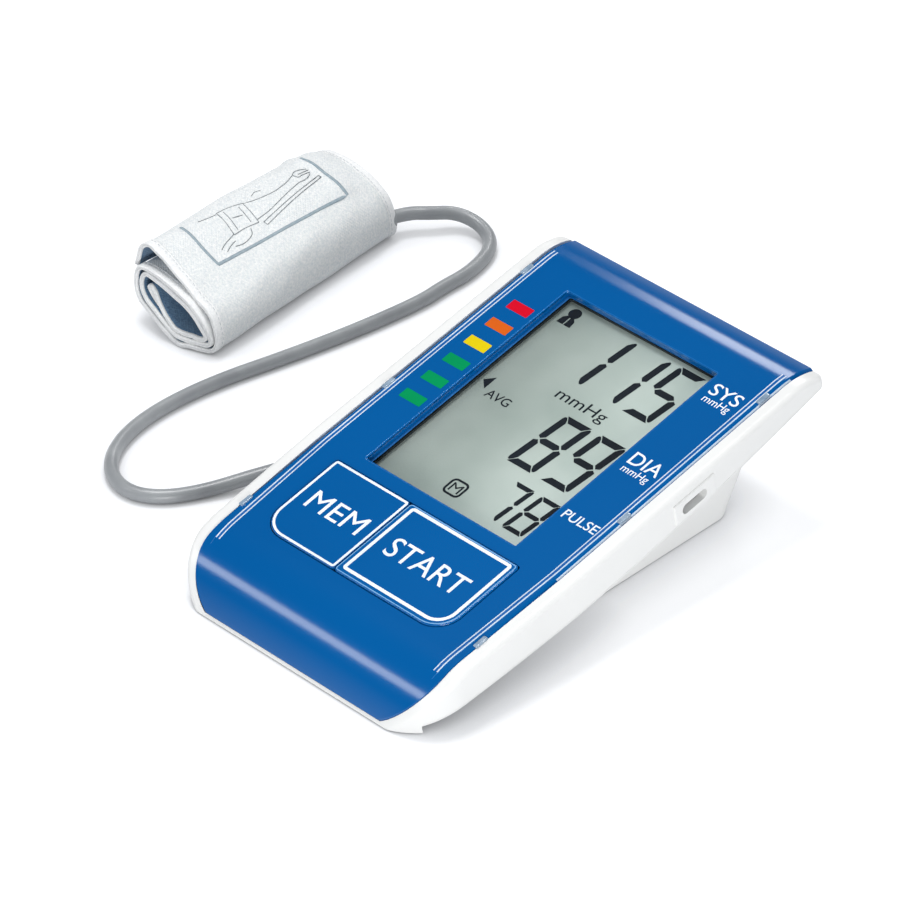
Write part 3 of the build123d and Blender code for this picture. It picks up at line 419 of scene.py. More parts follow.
def figure(lit, x0, s0, width, height, bar, gap, lean):
    """Outlines of a figure's lit segments, named a to g from the top clockwise and then the middle."""
    m, d, e = height / 2, gap / 2, bar * 0.5
    shapes = {
        "a": [(d * 2, height), (width - d * 2, height), (width - bar - d, height - bar), (bar + d, height - bar)],
        "d": [(bar + d, bar), (width - bar - d, bar), (width - d * 2, 0), (d * 2, 0)],
        "g": [(e + d, m), (e * 2 + d, m + e), (width - e * 2 - d, m + e), (width - e - d, m),
              (width - e * 2 - d, m - e), (e * 2 + d, m - e)],
        "f": [(0, height - bar * 0.7), (bar * 0.1, height - bar * 0.35), (bar * 0.35, height - bar * 0.25),
              (bar * 0.7, height - bar * 0.6), (bar, height - bar - d), (bar, m + e + d), (e, m + d),
              (0, m + e * 0.6 + d)],
        "e": [(0, m - e * 0.6 - d), (e, m - d), (bar, m - e - d), (bar, bar + d), (bar * 0.7, bar * 0.6),
              (bar * 0.35, bar * 0.25), (bar * 0.1, bar * 0.35), (0, bar * 0.7)],
    }
    shapes["b"] = [(width - x, s) for x, s in shapes["f"]]
    shapes["c"] = [(width - x, s) for x, s in shapes["e"]]
    outlines = []
    for name in lit:
        line = [(display_x + x0 + x + lean * s, s0 + s) for x, s in shapes[name]]
        area = sum(p[0] * q[1] - q[0] * p[1] for p, q in zip(line, line[1:] + line[:1]))
        outlines.append(line if area > 0 else line[::-1])
    return outlines


def disc(x, s, radius, steps=28):
    """A round outline."""
    return [(x + radius * math.cos(2 * math.pi * i / steps), s + radius * math.sin(2 * math.pi * i / steps))
            for i in range(steps)]


one, five, seven, eight, nine = "bc", "acdfg", "abc", "abcdefg", "abcdfg"
large_size = {"width": 10.2, "height": 22.4, "bar": 2.25, "gap": 0.7, "lean": 0.105}
small_size = {"width": 7.5, "height": 15.1, "bar": 1.55, "gap": 0.5, "lean": 0.1}
segments = []
for size, row_foot, row in ((large_size, 17.1, ((one, -12.85), (one, 0.0), (five, 12.75))),
                            (large_size, -15.7, ((eight, 0.0), (nine, 12.75))),
                            (small_size, -35.2, ((seven, 6.9), (eight, 16.75)))):
    for lit, column in row:
        segments += figure(lit, column, row_foot, **size)
segments.append([(display_x + x, s) for x, s in ((-26.5, 3.5), (-23.8, 0.9), (-23.8, 6.1))])
person_x = display_x - 23.4
segments.append(disc(person_x, 37.7, 2.0))
segments += [
    [(person_x - 2.5, 32.6), (person_x - 0.2, 32.6), (person_x - 0.2, 36.2), (person_x - 1.3, 36.0),
     (person_x - 2.2, 35.0)],
    [(person_x + 0.2, 32.6), (person_x + 2.5, 32.6), (person_x + 2.2, 35.0), (person_x + 1.3, 36.0),
     (person_x + 0.2, 36.2)],
]
add_piece("display_figures", *prism(segments, segment_low, segment_high), segment_dark, "housing", "lcd")
box_x, box_s = display_x - 3.15, -31.9
add_piece("display_memory_box", *loop(rounded(box_x - 3.1, box_x + 3.1, box_s - 3.1, box_s + 3.1, (1.7,) * 4),
                                      rounded(box_x - 2.4, box_x + 2.4, box_s - 2.4, box_s + 2.4, (1.1,) * 4),
                                      segment_low, segment_high), segment_dark, "housing", "lcd")


def lettering(name, words, left, right, low, high, level, weight, material, body, slot):
    """Plain sans-serif letters, cut out of a thin sheet and fitted between four sides given in mm."""
    font = bpy.data.curves.new(name, "FONT")
    font.body = words
    font.offset = weight
    font.extrude = 0.5
    font.resolution_u = 5
    holder = bpy.data.objects.new(name + "_type", font)
    bpy.context.scene.collection.objects.link(holder)
    bpy.context.view_layer.update()
    mesh = bpy.data.meshes.new_from_object(holder.evaluated_get(bpy.context.evaluated_depsgraph_get()))
    bpy.data.objects.remove(holder)
    places = np.empty(len(mesh.vertices) * 3)
    mesh.vertices.foreach_get("co", places)
    places = places.reshape(-1, 3)
    least, most = places.min(0), places.max(0)
    target_low = np.array((left, low, level))
    target_high = np.array((right, high, level + 0.035))
    places = target_low + (places - least) / (most - least) * (target_high - target_low)
    faces = [tuple(p.vertices) for p in mesh.polygons]
    bpy.data.meshes.remove(mesh)
    add_piece(name, [on_slab(*p) for p in places], faces, material, body, slot)


def on_glass(name, words, left, right, low, high, weight):
    """Words among the lit segments."""
    lettering(name, words, display_x + left, display_x + right, low, high, segment_low, weight,
              segment_dark, "housing", "lcd")


on_glass("display_unit", "mmHg", -5.75, 12.3, 8.8, 14.0, 0.0)
on_glass("display_average", "AVG", -22.2, -13.6, -1.1, 2.0, 0.004)
on_glass("display_memory", "M", -4.9, -1.3, -33.6, -30.3, 0.0)

# ---- Keys ----
# Two wide moulded keys of the plate's blue, which stand a little proud of it in their cutouts and press on
# switches below. Their outlines and words are printed in white, and a faint blue line along the START key's edge is a
# painted highlight of its rim.
key_blue = finish("key_blue", tone("#005CA1"), tone("#00589B"), 0.34, patch=12.0, grain=900.0, depth=0.02,
                  shine=0.0, coat=1.0, coat_roughness=0.14, spread=0.03)
dress(key_blue, "mem_key", "start_key")
print_white = finish("print_white", tone("#F4F7FA"), tone("#E6ECF2"), 0.4, shine=0.1)
painted_rim_highlight = finish("painted_rim_highlight", tone("#7FB2DE"), tone("#6BA3D6"), 0.4, shine=0.1)
key_top = 0.4
key_left, key_right, key_near, key_far, key_split = -35.0, 34.2, -76.4, -45.8, -6.4


def key_print_and_highlight(name, left, right, near, far, radii, width, material, body):
    """A line round a key, used both for print and for a painted highlight: its outer sides, its corner radii, and its
    width.
    """
    outer = rounded(left, right, near, far, radii)
    inner = rounded(left + width, right - width, near + width, far - width, [r - width for r in radii])
    add_piece(name, *loop(outer, inner, key_top + 0.002, key_top + 0.03), material, body, "blue_key")


key_print_and_highlight("mem_outline", key_left + 0.45, key_split - 0.35, key_near + 0.4, key_far - 0.4, (0.9, 0.9, 0.9, 7.6), 0.75,
          print_white, "mem_key")
# A painted highlight: the faint blue line along the START key's edge stands for the light caught by its rim.
key_print_and_highlight("start_rim_highlight", key_split + 0.35, key_right - 0.45, key_near + 0.4, key_far - 0.4, (7.6, 0.9, 0.9, 0.9),
          0.3, painted_rim_highlight, "start_key")
key_print_and_highlight("start_inner_outline", key_split + 1.6, key_right - 1.5, key_near + 1.7, key_far - 0.9, (6.2, 1.2, 1.2, 1.2),
          1.05, print_white, "start_key")
lettering("mem_word", "MEM", -30.3, -10.4, -64.0, -57.2, key_top + 0.002, 0.0, print_white, "mem_key", "blue_key")
lettering("start_word", "START", -0.1, 27.8, -64.3, -57.1, key_top + 0.002, 0.002, print_white, "start_key",
          "blue_key")

# ---- Printed legends and range bars ----
# Screen-printed inks on the plate: white words to the right of the figures, and six bars to their left, which
# show how high a reading is.
plate_print = 0.003
for name, words, left, right, low, high, weight in (
        ("legend_systolic", "SYS", 30.9, 41.2, 33.3, 37.9, 0.004),
        ("legend_systolic_unit", "mmHg", 31.4, 40.7, 29.4, 32.8, 0.0),
        ("legend_diastolic", "DIA", 31.0, 41.7, 0.4, 5.2, 0.004),
        ("legend_diastolic_unit", "mmHg", 31.5, 40.8, -3.6, -0.3, 0.0),
        ("legend_pulse", "PULSE", 30.4, 42.5, -25.3, -22.0, 0.004)):
    lettering(name, words, display_x + left, display_x + right, low, high, plate_print, weight, print_white,
              "housing", "blue_plate")
bar_colours = [("red", "#D3132A"), ("orange", "#D4601F"), ("yellow", "#DFC716"), ("green_high", "#0A9156"),
               ("green_middle", "#0A9156"), ("green_low", "#0A9156")]
top_bar, bar_step, bar_half = 27.6, 8.67, 1.85
for i, (name, code) in enumerate(bar_colours):
    centre = top_bar - bar_step * i
    ink = finish("ink_" + name, tone(code), shade(code, 0.94), 0.35, shine=0.0)
    outline = rounded(display_x - 38.4, display_x - 30.5, centre - bar_half, centre + bar_half, (0.25,) * 4, 3)
    add_piece("range_bar_" + name, *prism([outline], plate_print, 0.035), ink, "housing", "blue_plate")

# ---- USB socket ----
# A micro-USB socket of stamped, tinned steel. It is soldered on the board's edge and opens through a slot in
# the right wall.
socket_tin = finish("socket_tin", tone("#C9CBCC"), tone("#B4B7B9"), 0.28, metallic=1.0)
dress(socket_tin, "usb_socket")

# ---- Underside ----
# Three glued rubber feet, and a clip-on door of the housing's plastic. Under it lie four AAA cells in printed
# sleeves, between contact plates and springs of tinned steel.
foot_rubber = finish("foot_rubber", tone("#85888A"), tone("#7A7D80"), 0.75, grain=2500.0, depth=0.3)
dress(foot_rubber, "rubber_feet")
dress(white_plastic, "battery_door")
cell_sleeve = finish("cell_sleeve", tone("#3C4A57"), tone("#34414D"), 0.3, metallic=0.6, coat=0.6)
dress(cell_sleeve, "cells")
spring_tin = finish("spring_tin", tone("#C6C8C8"), tone("#B2B5B6"), 0.25, metallic=1.0)
dress(spring_tin, "cell_contacts", "cell_springs")

# ---- Board and what stands on it ----
# A green circuit board, screwed under the deck. It carries two key switches, the controller, the pressure
# sensor and the buzzer, all soldered, and a rubber connector pressed against the display's glass.
board_green = finish("board_green", tone("#1D6B3F"), tone("#175C35"), 0.4, patch=300.0, grain=2400.0)
dress(board_green, "circuit_board")
black_mould = finish("black_mould", tone("#232527"), tone("#1B1D1F"), 0.5)
dress(black_mould, "controller_chip", "buzzer", "mem_switch", "start_switch")
stem_white = finish("stem_white", tone("#E9E9E6"), tone("#DFDFDC"), 0.45)
dress(stem_white, "mem_switch_stem", "start_switch_stem", "lcd_frame", "lcd_reflector")
connector_grey = finish("connector_grey", tone("#5A5D60"), tone("#3F4245"), 0.7, patch=1500.0)
dress(connector_grey, "lcd_connector")
grey_mould = finish("grey_mould", tone("#8E9193"), tone("#828587"), 0.5)
dress(grey_mould, "pressure_sensor", "pump_head", "air_tee", "valve_body", "air_socket")

# ---- Pump and air way ----
# A small steel-cased motor with its moulded diaphragm pump, wrapped in a foam cushion, and an exhaust valve.
# Soft silicone tubes are pushed on their nozzles.
motor_steel = finish("motor_steel", tone("#B8BBBE"), tone("#A6A9AD"), 0.32, metallic=1.0, patch=120.0)
dress(motor_steel, "pump_motor", "pump_rotor", "valve_plunger")
cushion_foam = finish("cushion_foam", tone("#3A3B3D"), tone("#2B2C2E"), 0.95, patch=900.0, grain=1800.0, depth=0.9)
dress(cushion_foam, "pump_cushion")
silicone = finish("silicone", tone("#DEDDD8"), tone("#D0CFCA"), 0.35, patch=80.0)
dress(silicone, "pump_tube", "socket_tube", "sensor_tube", "valve_tube")

# ---- Cuff ----
# One long padded band, rolled up from its inner end: a white woven cover outside, a slate-blue lining inside and
# an air bag between them. Both long edges are bound with a folded tape, stitched through.
cuff_near, cuff_far = -33.3, 46.5
cuff_width = cuff_far - cuff_near
first_turn, last_turn, turn_length = -3, 54, 4.2
ridge_place, ridge_height, dent_place, dent_depth, crown_rise = 66.0, 0.6, 70.5, 0.9, 0.13
near_line = np.array([
    (-152.0, 16.6), (-151.1, 20.0), (-149.9, 23.5), (-147.0, 25.5), (-144.2, 24.9), (-140.1, 23.4), (-135.8, 20.9),
    (-131.2, 18.6), (-126.9, 16.0), (-122.4, 13.6), (-120.2, 9.7), (-119.4, 5.6), (-120.1, 2.7), (-122.9, 1.6),
    (-127.2, 1.6), (-131.9, 1.3), (-136.8, 3.7), (-143.4, 6.4), (-148.0, 8.2), (-150.0, 11.9), (-150.0, 16.1),
    (-148.1, 18.0), (-144.9, 18.6), (-140.7, 18.4), (-136.1, 17.4), (-132.0, 16.3), (-128.4, 15.0), (-125.3, 12.7),
    (-122.5, 9.7), (-121.2, 5.6), (-121.6, 3.9), (-125.1, 3.2), (-129.3, 3.1), (-133.8, 4.2), (-138.9, 7.2),
    (-144.7, 9.3), (-147.4, 11.3), (-148.1, 14.3), (-146.3, 16.5), (-142.7, 16.3), (-138.3, 15.5), (-134.0, 14.4),
    (-130.3, 13.4), (-127.0, 11.5), (-124.6, 8.5), (-123.2, 5.5), (-124.2, 4.7), (-127.3, 4.6), (-130.9, 4.8),
    (-134.1, 6.2), (-136.9, 8.2), (-139.8, 10.6), (-141.9, 12.7), (-143.9, 13.9), (-145.7, 12.7), (-144.3, 11.3),
    (-142.3, 10.0), (-140.5, 9.1)])
far_line = np.array([
    (-158.3, 11.6), (-157.2, 14.8), (-154.9, 17.0), (-152.5, 17.9), (-150.0, 18.4), (-146.0, 18.7), (-141.5, 18.5),
    (-137.0, 17.6), (-133.0, 16.0), (-129.3, 13.6), (-127.1, 10.0), (-126.2, 5.8), (-126.5, 2.4), (-129.7, 1.2),
    (-136.0, 1.2), (-142.0, 1.2), (-148.0, 1.5), (-152.6, 3.0), (-155.4, 5.8), (-156.6, 8.8), (-156.0, 11.8),
    (-154.0, 14.0), (-150.5, 15.3), (-146.5, 15.9), (-142.0, 15.6), (-138.0, 14.8), (-134.8, 13.4), (-132.2, 11.5),
    (-130.5, 9.3), (-129.3, 6.2), (-129.6, 3.9), (-132.5, 2.9), (-138.0, 2.8), (-144.0, 2.9), (-149.5, 3.8),
    (-153.0, 5.9), (-154.8, 8.4), (-154.2, 11.0), (-151.6, 13.0), (-148.0, 14.0), (-143.0, 14.1), (-139.0, 13.2),
    (-135.8, 11.8), (-133.4, 9.9), (-131.8, 7.8), (-131.1, 5.9), (-132.6, 4.7), (-136.5, 4.4), (-141.5, 4.4),
    (-146.0, 4.8), (-147.8, 6.6), (-149.2, 8.6), (-150.4, 10.4), (-151.8, 11.3), (-152.9, 10.2), (-152.9, 8.7),
    (-151.7, 7.3), (-150.3, 6.3)])
# How far the turns stand out of the roll at its near end: numbers of the line's points, and mm.
reach_turns = (8, 10, 11.5, 13, 15, 17, 19, 23, 24, 25, 26, 28, 29.5, 31, 32.5, 34, 36, 39, 40, 41, 42, 44, 45.5, 47,
               49, 51, 54)
reach_out = (0, 1.5, 4.0, 4.5, 3.0, 1.8, 2.0, 2.0, 1.8, 1.6, 0.8, 2.0, 4.0, 4.2, 2.8, 1.8, 1.9, 2.0, 1.9, 1.5, 0.8,
             2.0, 3.8, 3.6, 2.2, 1.6, 2.5)


def smooth_line(points, count):
    """A soft line through all of the points, even in the points' own numbering."""
    t = np.linspace(0, len(points) - 1, count)
    i = np.clip(t.astype(int), 0, len(points) - 2)
    f = (t - i)[:, None]
    padded = np.vstack([2 * points[0] - points[1], points, 2 * points[-1] - points[-2]])
    p0, p1, p2, p3 = (padded[i + k] for k in range(4))
    return 0.5 * (2 * p1 + (p2 - p0) * f + (2 * p0 - 5 * p1 + 4 * p2 - p3) * f ** 2
                  + (3 * p1 - 3 * p2 + p3 - p0) * f ** 3)


def soft_step(low, high, value):
    """From 0 at the low value to 1 at the high one, with soft ends."""
    share = np.clip((value - low) / (high - low), 0, 1)
    return share * share * (3 - 2 * share)


roll_count = 2400
roll_numbers = np.linspace(first_turn, last_turn, roll_count)
rolls = []
for line in (near_line, far_line):
    centre = smooth_line(line, roll_count)
    tangent = np.gradient(centre, axis=0)
    tangent /= np.linalg.norm(tangent, axis=1)[:, None]
    rolls.append((centre, np.stack([-tangent[:, 1], tangent[:, 0]], 1)))


def cuff_skin(turns, across, offset):
    """Points of the rolled band in mm: a row for each turn number and a column for each place across its width."""
    u, d = np.asarray(turns, float)[:, None], np.asarray(across, float)[None, :]
    share = d / cuff_width

    def at_turns(values):
        return np.stack([np.interp(u[:, 0], roll_numbers, values[:, k]) for k in range(2)], 1)[:, None]

    blend = share[:, :, None]
    centre = at_turns(rolls[0][0]) * (1 - blend) + at_turns(rolls[1][0]) * blend
    normal = at_turns(rolls[0][1]) * (1 - blend) + at_turns(rolls[1][1]) * blend
    normal /= np.linalg.norm(normal, axis=2)[:, :, None]
    swell = (0.3 * np.sin(0.9 * u + 0.06 * d) * np.sin(0.045 * d + 0.7)
             + 0.14 * np.sin(2.1 * u - 0.13 * d + 1.0) + 0.07 * np.sin(0.31 * d + 3.3 * u))
    # A soft ridge runs along the printed frame's far side and ends in a dent at its corner.
    from_ridge = d - ridge_place - 0.5 * (u - 3.0)
    swell += ridge_height * np.exp(-(from_ridge / 2.2) ** 2) * soft_step(6.0, 4.5, u)
    swell -= dent_depth * np.exp(-((d - dent_place) / 3.5) ** 2 - ((u - 5.3) / 0.7) ** 2)
    swell *= 0.25 + 0.75 * np.clip(d / 9, 0, 1) * np.clip((cuff_width - d) / 9, 0, 1)
    swell *= 1 - 0.5 * soft_step(8.0, 11.0, u)
    flat = centre + normal * (swell + offset)[:, :, None]
    crown = 1 + crown_rise * soft_step(0.05, 0.8, share) * soft_step(1.0, 0.86, share)
    near = cuff_near - np.interp(u, reach_turns, reach_out)
    points = np.empty(flat.shape[:2] + (3,))
    points[:, :, 0] = flat[:, :, 0]
    points[:, :, 1] = near + (cuff_far - near) * share
    points[:, :, 2] = np.maximum(flat[:, :, 1] * crown, 0.06)
    return points


def even(turns, across, value):
    """The same offset for each point of a skin."""
    return np.full((len(turns), len(across)), float(value))


def unroll(piece, turns, across):
    """A map in mm on the unrolled band, for the weave: each point's place along it and across it."""
    places = np.array([(u * turn_length, d) for u in turns for d in across])
    if len(places) < len(piece.data.vertices):
        places = np.vstack([places, places])
    corners = np.empty(len(piece.data.loops), int)
    piece.data.loops.foreach_get("vertex_index", corners)
    layer = piece.data.uv_layers.new(name="unrolled")
    layer.data.foreach_set("uv", places[corners].ravel())


def band(name, turns, across, low, high, material, slot):
    """A layer of the rolled band between two offsets, as a closed sheet that thins out towards its long edges."""
    puff = np.sin(np.pi * np.clip((across - across[0]) / (across[-1] - across[0]), 0, 1)) ** 0.4
    top = cuff_skin(turns, across, even(turns, across, high) - (1 - puff)[None, :] * 0.6 * (high - low))
    bottom = cuff_skin(turns, across, even(turns, across, low))
    rows, columns = len(turns), len(across)
    points = np.concatenate([top.reshape(-1, 3), bottom.reshape(-1, 3)]) * MM
    base = rows * columns
    faces = []
    for r in range(rows - 1):
        for c in range(columns - 1):
            a = r * columns + c
            faces.append((a, a + 1, a + columns + 1, a + columns))
            faces.append((base + a, base + a + columns, base + a + columns + 1, base + a + 1))
        near, far = r * columns, r * columns + columns - 1
        faces.append((near, near + columns, base + near + columns, base + near))
        faces.append((far + columns, far, base + far, base + far + columns))
    last = (rows - 1) * columns
    for c in range(columns - 1):
        faces.append((c + 1, c, base + c, base + c + 1))
        faces.append((last + c, last + c + 1, base + last + c + 1, base + last + c))
    if high < low:
        faces = [f[::-1] for f in faces]
    piece = add_piece(name, points, faces, material, "hose_and_cuff", slot, smooth=True)
    unroll(piece, turns, across)
    return piece


def reckon(tree, operation, first, second=None):
    """A Math node over sockets or numbers, and its result."""
    node = tree.nodes.new("ShaderNodeMath")
    node.operation = operation
    for place, given in enumerate((first, second)):
        if isinstance(given, float):
            node.inputs[place].default_value = given
        elif given is not None:
            tree.links.new(given, node.inputs[place])
    return node.outputs[0]


def woven(name, light, dark, pitch, depth, sheen):
    """A plain weave on the unrolled map: threads that pass over and under each other, and a mottled yarn."""
    material = finish(name, light, dark, 0.88, patch=1500.0, grain=1600.0, depth=0.3, shine=0.15, sheen=sheen)
    tree = material.node_tree
    tree.nodes["Color Ramp"].color_ramp.elements[0].position = 0.3
    tree.nodes["Color Ramp"].color_ramp.elements[1].position = 0.7
    split = tree.nodes.new("ShaderNodeSeparateXYZ")
    tree.links.new(tree.nodes["Texture Coordinate"].outputs["UV"], split.inputs["Vector"])
    waves = [reckon(tree, "SINE", reckon(tree, "MULTIPLY", split.outputs[direction], math.pi / pitch))
             for direction in ("X", "Y")]
    thread = tree.nodes.new("ShaderNodeBump")
    thread.inputs["Strength"].default_value = 0.6
    thread.inputs["Distance"].default_value = depth
    tree.links.new(reckon(tree, "MULTIPLY", *waves), thread.inputs["Height"])
    tree.links.new(tree.nodes["Bump"].outputs["Normal"], thread.inputs["Normal"])
    tree.links.new(thread.outputs["Normal"], tree.nodes["Principled BSDF"].inputs["Normal"])
    return material


cover_cloth = woven("cover_cloth", tone("#F0F0EE"), tone("#D7DCDE"), 0.5, 0.00010, 0.1)
lining_cloth = woven("lining_cloth", tone("#6A8BA8"), tone("#4A6784"), 0.5, 0.00010, 0.3)
tape_cloth = woven("tape_cloth", tone("#F7F7F6"), tone("#E8E9E9"), 0.35, 0.00006, 0.1)
bag_rubber = finish("bag_rubber", tone("#3B3D40"), tone("#2F3134"), 0.6)

turn_steps = np.linspace(first_turn, last_turn, 480)
cloth_margin, bag_margin = 0.4, 6.0
cover = band("cuff_cover_cloth", turn_steps, np.linspace(cloth_margin, cuff_width - cloth_margin, 84), 0.3, 1.0,
             cover_cloth, "cuff_cloth")
lining = band("cuff_lining_cloth", turn_steps, np.linspace(cloth_margin, cuff_width - cloth_margin, 60), -0.3, -0.45,
              lining_cloth, "lining_cloth")
bag = band("cuff_air_bag", np.linspace(7.0, 25.0, 120), np.linspace(bag_margin, cuff_width - bag_margin, 40), -0.2,
           0.2, bag_rubber, "bladder_rubber")
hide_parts("cuff_cover")
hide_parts("cuff_lining")
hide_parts("cuff_bladder")

# The tape's outline, from the middle of its edge inwards: mm from the edge, and share of half the thickness. Its
# two lips meet in a groove along the edge, and the seam pulls it in.
seam_place, seam_level = 2.45, 0.78
tape_half = ((0.06, 0.22), (0.0, 0.5), (0.14, 0.78), (0.5, 0.95), (1.2, 1.02), (2.1, 1.0), (seam_place, seam_level),
             (2.8, 1.0), (3.1, 1.0), (3.25, 0.6))
tape_inside = ((1.1, -0.6), (0.9, -1.0), (0.5, -0.97), (0.14, -0.78), (0.0, -0.5), (0.06, -0.22))
tape_ring = ((0.32, 0.0), *tape_half, *tape_inside)
tape_middle, tape_thick = 0.28, 0.74


def edge_tape(name, edge, inward):
    """The folded tape round one long edge of the band, which follows the roll."""
    turns = np.linspace(first_turn, last_turn, 520)
    places = [(edge + inward * e, tape_middle + tape_thick * share) for e, share in tape_ring]
    points = np.stack([cuff_skin(turns, [d], even(turns, [d], out))[:, 0] for d, out in places], 1)
    count = len(places)
    faces = []
    for r in range(len(turns) - 1):
        for c in range(count):
            a, b = r * count + c, r * count + (c + 1) % count
            faces.append((a, b, b + count, a + count))
    last = (len(turns) - 1) * count
    faces.append(tuple(range(count - 1, -1, -1)))
    faces.append(tuple(range(last, last + count)))
    if inward > 0:
        faces = [f[::-1] for f in faces]
    piece = add_piece(name, points.reshape(-1, 3) * MM, faces, tape_cloth, "hose_and_cuff", "cuff_cloth", smooth=True)
    unroll(piece, turns, np.linspace(0, 9, count))


edge_tape("cuff_tape_near", 0.0, 1)
edge_tape("cuff_tape_far", cuff_width, -1)

# The seam of each tape: short stitches of grey thread, evenly spaced along the cover. The thread's grey is partly
# painted shade: it darkens the seam line where the stitches pull the tape in.
thread_and_seam_shade = finish("thread_and_seam_shade", tone("#CDD1D3"), tone("#BCC1C4"), 0.7, patch=400.0)
seams = []
for edge, inward in ((0.0, 1), (cuff_width, -1)):
    turns = np.linspace(first_turn + 0.1, last_turn - 0.1, 700)
    d = edge + inward * seam_place
    seams.append(cuff_skin(turns, [d], even(turns, [d], tape_middle + tape_thick * seam_level + 0.06))[:, 0] * MM)
spaced_parts("cuff_stitches", seams, {"Count": 150, "Length": 1.3 * MM, "Width": 0.3 * MM, "Height": 0.2 * MM,
                                      "Roundness": 2, "Edge Hold": 0.0}, thread_and_seam_shade, "hose_and_cuff")


def skin_ribbon(name, paths, width, material):
    """Lines printed on the cover's outside, each along a path of turn numbers and places across."""
    points, faces = [], []
    for path in paths:
        path = np.array(path, float)
        step = np.diff(path, axis=0) * np.array([turn_length, 1.0])
        step = np.vstack([step, step[-1]])
        step /= np.linalg.norm(step, axis=1)[:, None]
        side = np.stack([-step[:, 1] / turn_length, step[:, 0]], 1) * width / 2
        first, count = len(points), len(path)
        for high in (1.06, 0.9):
            for sign in (1, -1):
                points += [cuff_skin([u], [d], np.array([[high]]))[0, 0] * MM for u, d in path + sign * side]
        for i in range(first, first + count - 1):
            a, b, c, d = i, count + i, 2 * count + i, 3 * count + i
            faces += [(a, b, b + 1, a + 1), (c, c + 1, d + 1, d), (a, a + 1, c + 1, c), (b, d, d + 1, b + 1)]
    add_piece(name, points, faces, material, "hose_and_cuff", "cuff_cloth", smooth=True)


def bent(corners, count=12):
    """A path through a few corners, with points between them."""
    corners = np.array(corners, float)
    numbers = np.linspace(0, len(corners) - 1, (len(corners) - 1) * count + 1)
    return np.stack([np.interp(numbers, range(len(corners)), corners[:, k]) for k in range(2)], 1)


def curved(*corners):
    """A soft path through a few points."""
    return smooth_line(np.array(corners, float), len(corners) * 7)


frame_ink = finish("frame_ink", tone("#A3B0B7"), tone("#93A2AB"), 0.8, patch=700.0, shine=0.1)
drawing_ink = finish("drawing_ink", tone("#8E9395"), tone("#74797C"), 0.8, patch=700.0, shine=0.1)
skin_ribbon("cuff_frame", [bent([(0.25, 13.2), (3.92, 13.9), (4.95, 65.8), (0.5, 65.0)], 30)], 0.85, frame_ink)
# Printed inside the frame: a bent arm that lies on a table, with the cuff round it and its tube.
skin_ribbon("cuff_drawing", [
    curved((0.8, 19.0), (1.0, 23.0), (1.1, 26.0)), curved((3.3, 18.5), (3.1, 21.0), (2.9, 25.6)),
    curved((3.6, 19.5), (3.4, 22.0), (3.3, 24.5)),
    bent([(1.0, 26.4), (2.95, 25.6)]), bent([(1.45, 36.0), (3.2, 35.0)]),
    curved((1.0, 26.4), (1.12, 30.5), (1.45, 36.0)), curved((2.95, 25.6), (3.0, 30.0), (3.2, 35.0)),
    bent([(1.25, 28.4), (2.8, 27.8)], 8), bent([(1.55, 33.8), (2.9, 33.0)], 8), bent([(2.0, 29.0), (2.2, 32.5)], 6),
    curved((1.5, 36.2), (1.8, 41.0), (2.0, 47.0), (1.9, 53.0), (1.7, 56.5)),
    curved((3.0, 35.2), (2.95, 41.0), (2.7, 48.0), (2.5, 54.0), (2.45, 56.5)),
    curved((1.7, 56.5), (1.5, 58.5), (1.6, 60.6), (1.85, 62.2)), curved((1.85, 58.6), (1.9, 60.4), (2.0, 62.4)),
    curved((2.05, 58.8), (2.12, 60.6), (2.2, 62.2)), curved((2.45, 56.5), (2.5, 58.6), (2.42, 60.6), (2.3, 61.8)),
    curved((1.7, 57.0), (2.0, 57.6), (2.1, 58.6)),
    bent([(3.35, 36.4), (2.75, 63.2), (2.95, 63.6), (3.62, 36.8)], 20), bent([(3.35, 36.4), (3.62, 36.8)], 3),
    curved((3.2, 31.5), (3.6, 30.0), (3.75, 26.0), (3.6, 23.0)), curved((1.3, 40.5), (1.15, 42.5), (1.3, 44.5)),
    ], 0.2, drawing_ink)

# ---- Floor and light ----
# A pale table top without an edge, and a pale room. One wide soft light hangs overhead, two long ones show in
# the plate's bends, and a low one lights the right wall.
floor_material = bpy.data.materials.new("floor_pale")
floor_material.use_nodes = True
floor_tree = floor_material.node_tree
floor_shader = floor_tree.nodes["Principled BSDF"]
floor_shader.inputs["Base Color"].default_value = (0.55, 0.56, 0.58, 1.0)
floor_shader.inputs["Roughness"].default_value = 0.9
floor_shader.inputs["Specular IOR Level"].default_value = 0.1


def seeing_rays(tree):
    """1 for the rays that show a background: the camera's, and those off gloss and through glass."""
    rays = tree.nodes.new("ShaderNodeLightPath").outputs
    return reckon(tree, "MAXIMUM", reckon(tree, "MAXIMUM", rays["Is Camera Ray"], rays["Is Glossy Ray"]),
                  rays["Is Transmission Ray"])


# The floor's own pale glow fades close to the object, so that its contact with the table shows.
contact = floor_tree.nodes.new("ShaderNodeAmbientOcclusion")
contact.samples = 12
contact.inputs["Distance"].default_value = 0.016
glow = floor_tree.nodes.new("ShaderNodeEmission")
add = floor_tree.nodes.new("ShaderNodeAddShader")
link = floor_tree.links.new
link(reckon(floor_tree, "MULTIPLY", reckon(floor_tree, "MULTIPLY", seeing_rays(floor_tree), 0.6),
            contact.outputs["AO"]), glow.inputs["Strength"])
link(floor_shader.outputs["BSDF"], add.inputs[0])
link(glow.outputs["Emission"], add.inputs[1])
link(add.outputs[0], floor_tree.nodes["Material Output"].inputs["Surface"])
floor_mesh = bpy.data.meshes.new("floor")
floor_mesh.from_pydata([(-5, -5, 0), (5, -5, 0), (5, 5, 0), (-5, 5, 0)], [], [(0, 1, 2, 3)])
floor_mesh.materials.append(floor_material)
floor = bpy.data.objects.new("floor", floor_mesh)
bpy.context.scene.collection.objects.link(floor)

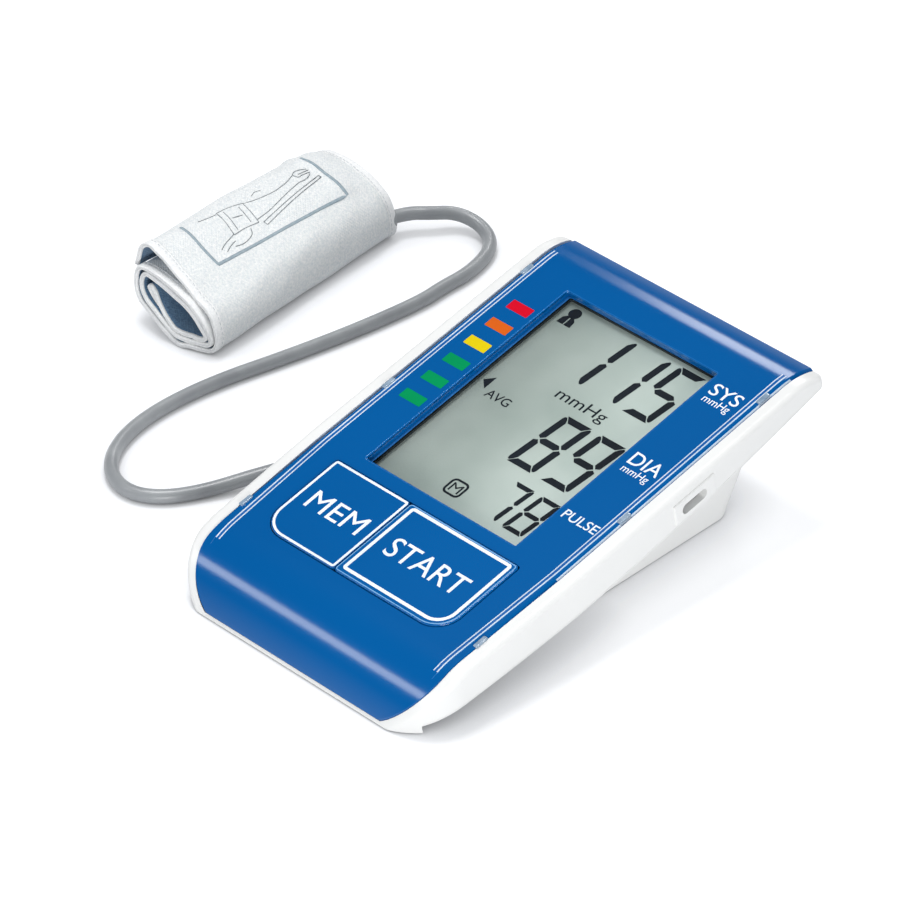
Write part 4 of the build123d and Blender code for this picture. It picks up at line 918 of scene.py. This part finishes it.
world = bpy.data.worlds.new("studio")
bpy.context.scene.world = world
world.use_nodes = True
sky = world.node_tree
sky_fill = sky.nodes["Background"]
sky_fill.inputs["Color"].default_value = (0.93, 0.96, 1.0, 1.0)
sky_fill.inputs["Strength"].default_value = 0.55
sky_seen = sky.nodes.new("ShaderNodeBackground")
direction = sky.nodes.new("ShaderNodeTexCoord")
parts = sky.nodes.new("ShaderNodeSeparateXYZ")
fade = sky.nodes.new("ShaderNodeMapRange")
for socket, value in (("From Min", 0.05), ("From Max", 0.42), ("To Min", 0.9), ("To Max", 0.0)):
    fade.inputs[socket].default_value = value
sky_rays = sky.nodes.new("ShaderNodeLightPath")
sky_mix = sky.nodes.new("ShaderNodeMixShader")
link = sky.links.new
link(direction.outputs["Generated"], parts.inputs["Vector"])
link(parts.outputs["Z"], fade.inputs["Value"])
link(reckon(sky, "MAXIMUM", sky_rays.outputs["Is Camera Ray"], fade.outputs["Result"]), sky_seen.inputs["Strength"])
link(seeing_rays(sky), sky_mix.inputs[0])
link(sky_fill.outputs["Background"], sky_mix.inputs[1])
link(sky_seen.outputs["Background"], sky_mix.inputs[2])
link(sky_mix.outputs[0], sky.nodes["World Output"].inputs["Surface"])


def soft_light(name, place, aim, width, height, power):
    """A softbox at a place, turned to a point, with its width level. Metres and watts."""
    lamp = bpy.data.lights.new(name, "AREA")
    lamp.shape = "RECTANGLE"
    lamp.size, lamp.size_y = width, height
    lamp.energy = power
    box = bpy.data.objects.new(name, lamp)
    back = (Vector(place) - Vector(aim)).normalized()
    level_line = Vector((1.0, 0.0, 0.0))
    across = (level_line - back * level_line.dot(back)).normalized()
    box.matrix_world = Matrix.Translation(place) @ Matrix((across, back.cross(across), back)).transposed().to_4x4()
    bpy.context.scene.collection.objects.link(box)


soft_light("light_overhead", (-0.42, 0.14, 1.5), (-0.05, -0.02, 0.0), 0.36, 0.5, 11.0)
soft_light("light_near_bend", (-0.70, -0.79, 0.78), (0.02, -0.115, 0.01), 0.45, 0.15, 1.5)
soft_light("light_far_bend", (-0.50, 0.72, 0.69), (0.045, 0.03, 0.045), 0.22, 0.24, 1.2)
soft_light("light_right_wall", (0.95, -0.8, 0.2), (0.05, 0.0, 0.02), 0.6, 0.3, 9.0)

bpy.context.scene.view_settings.view_transform = "Standard"
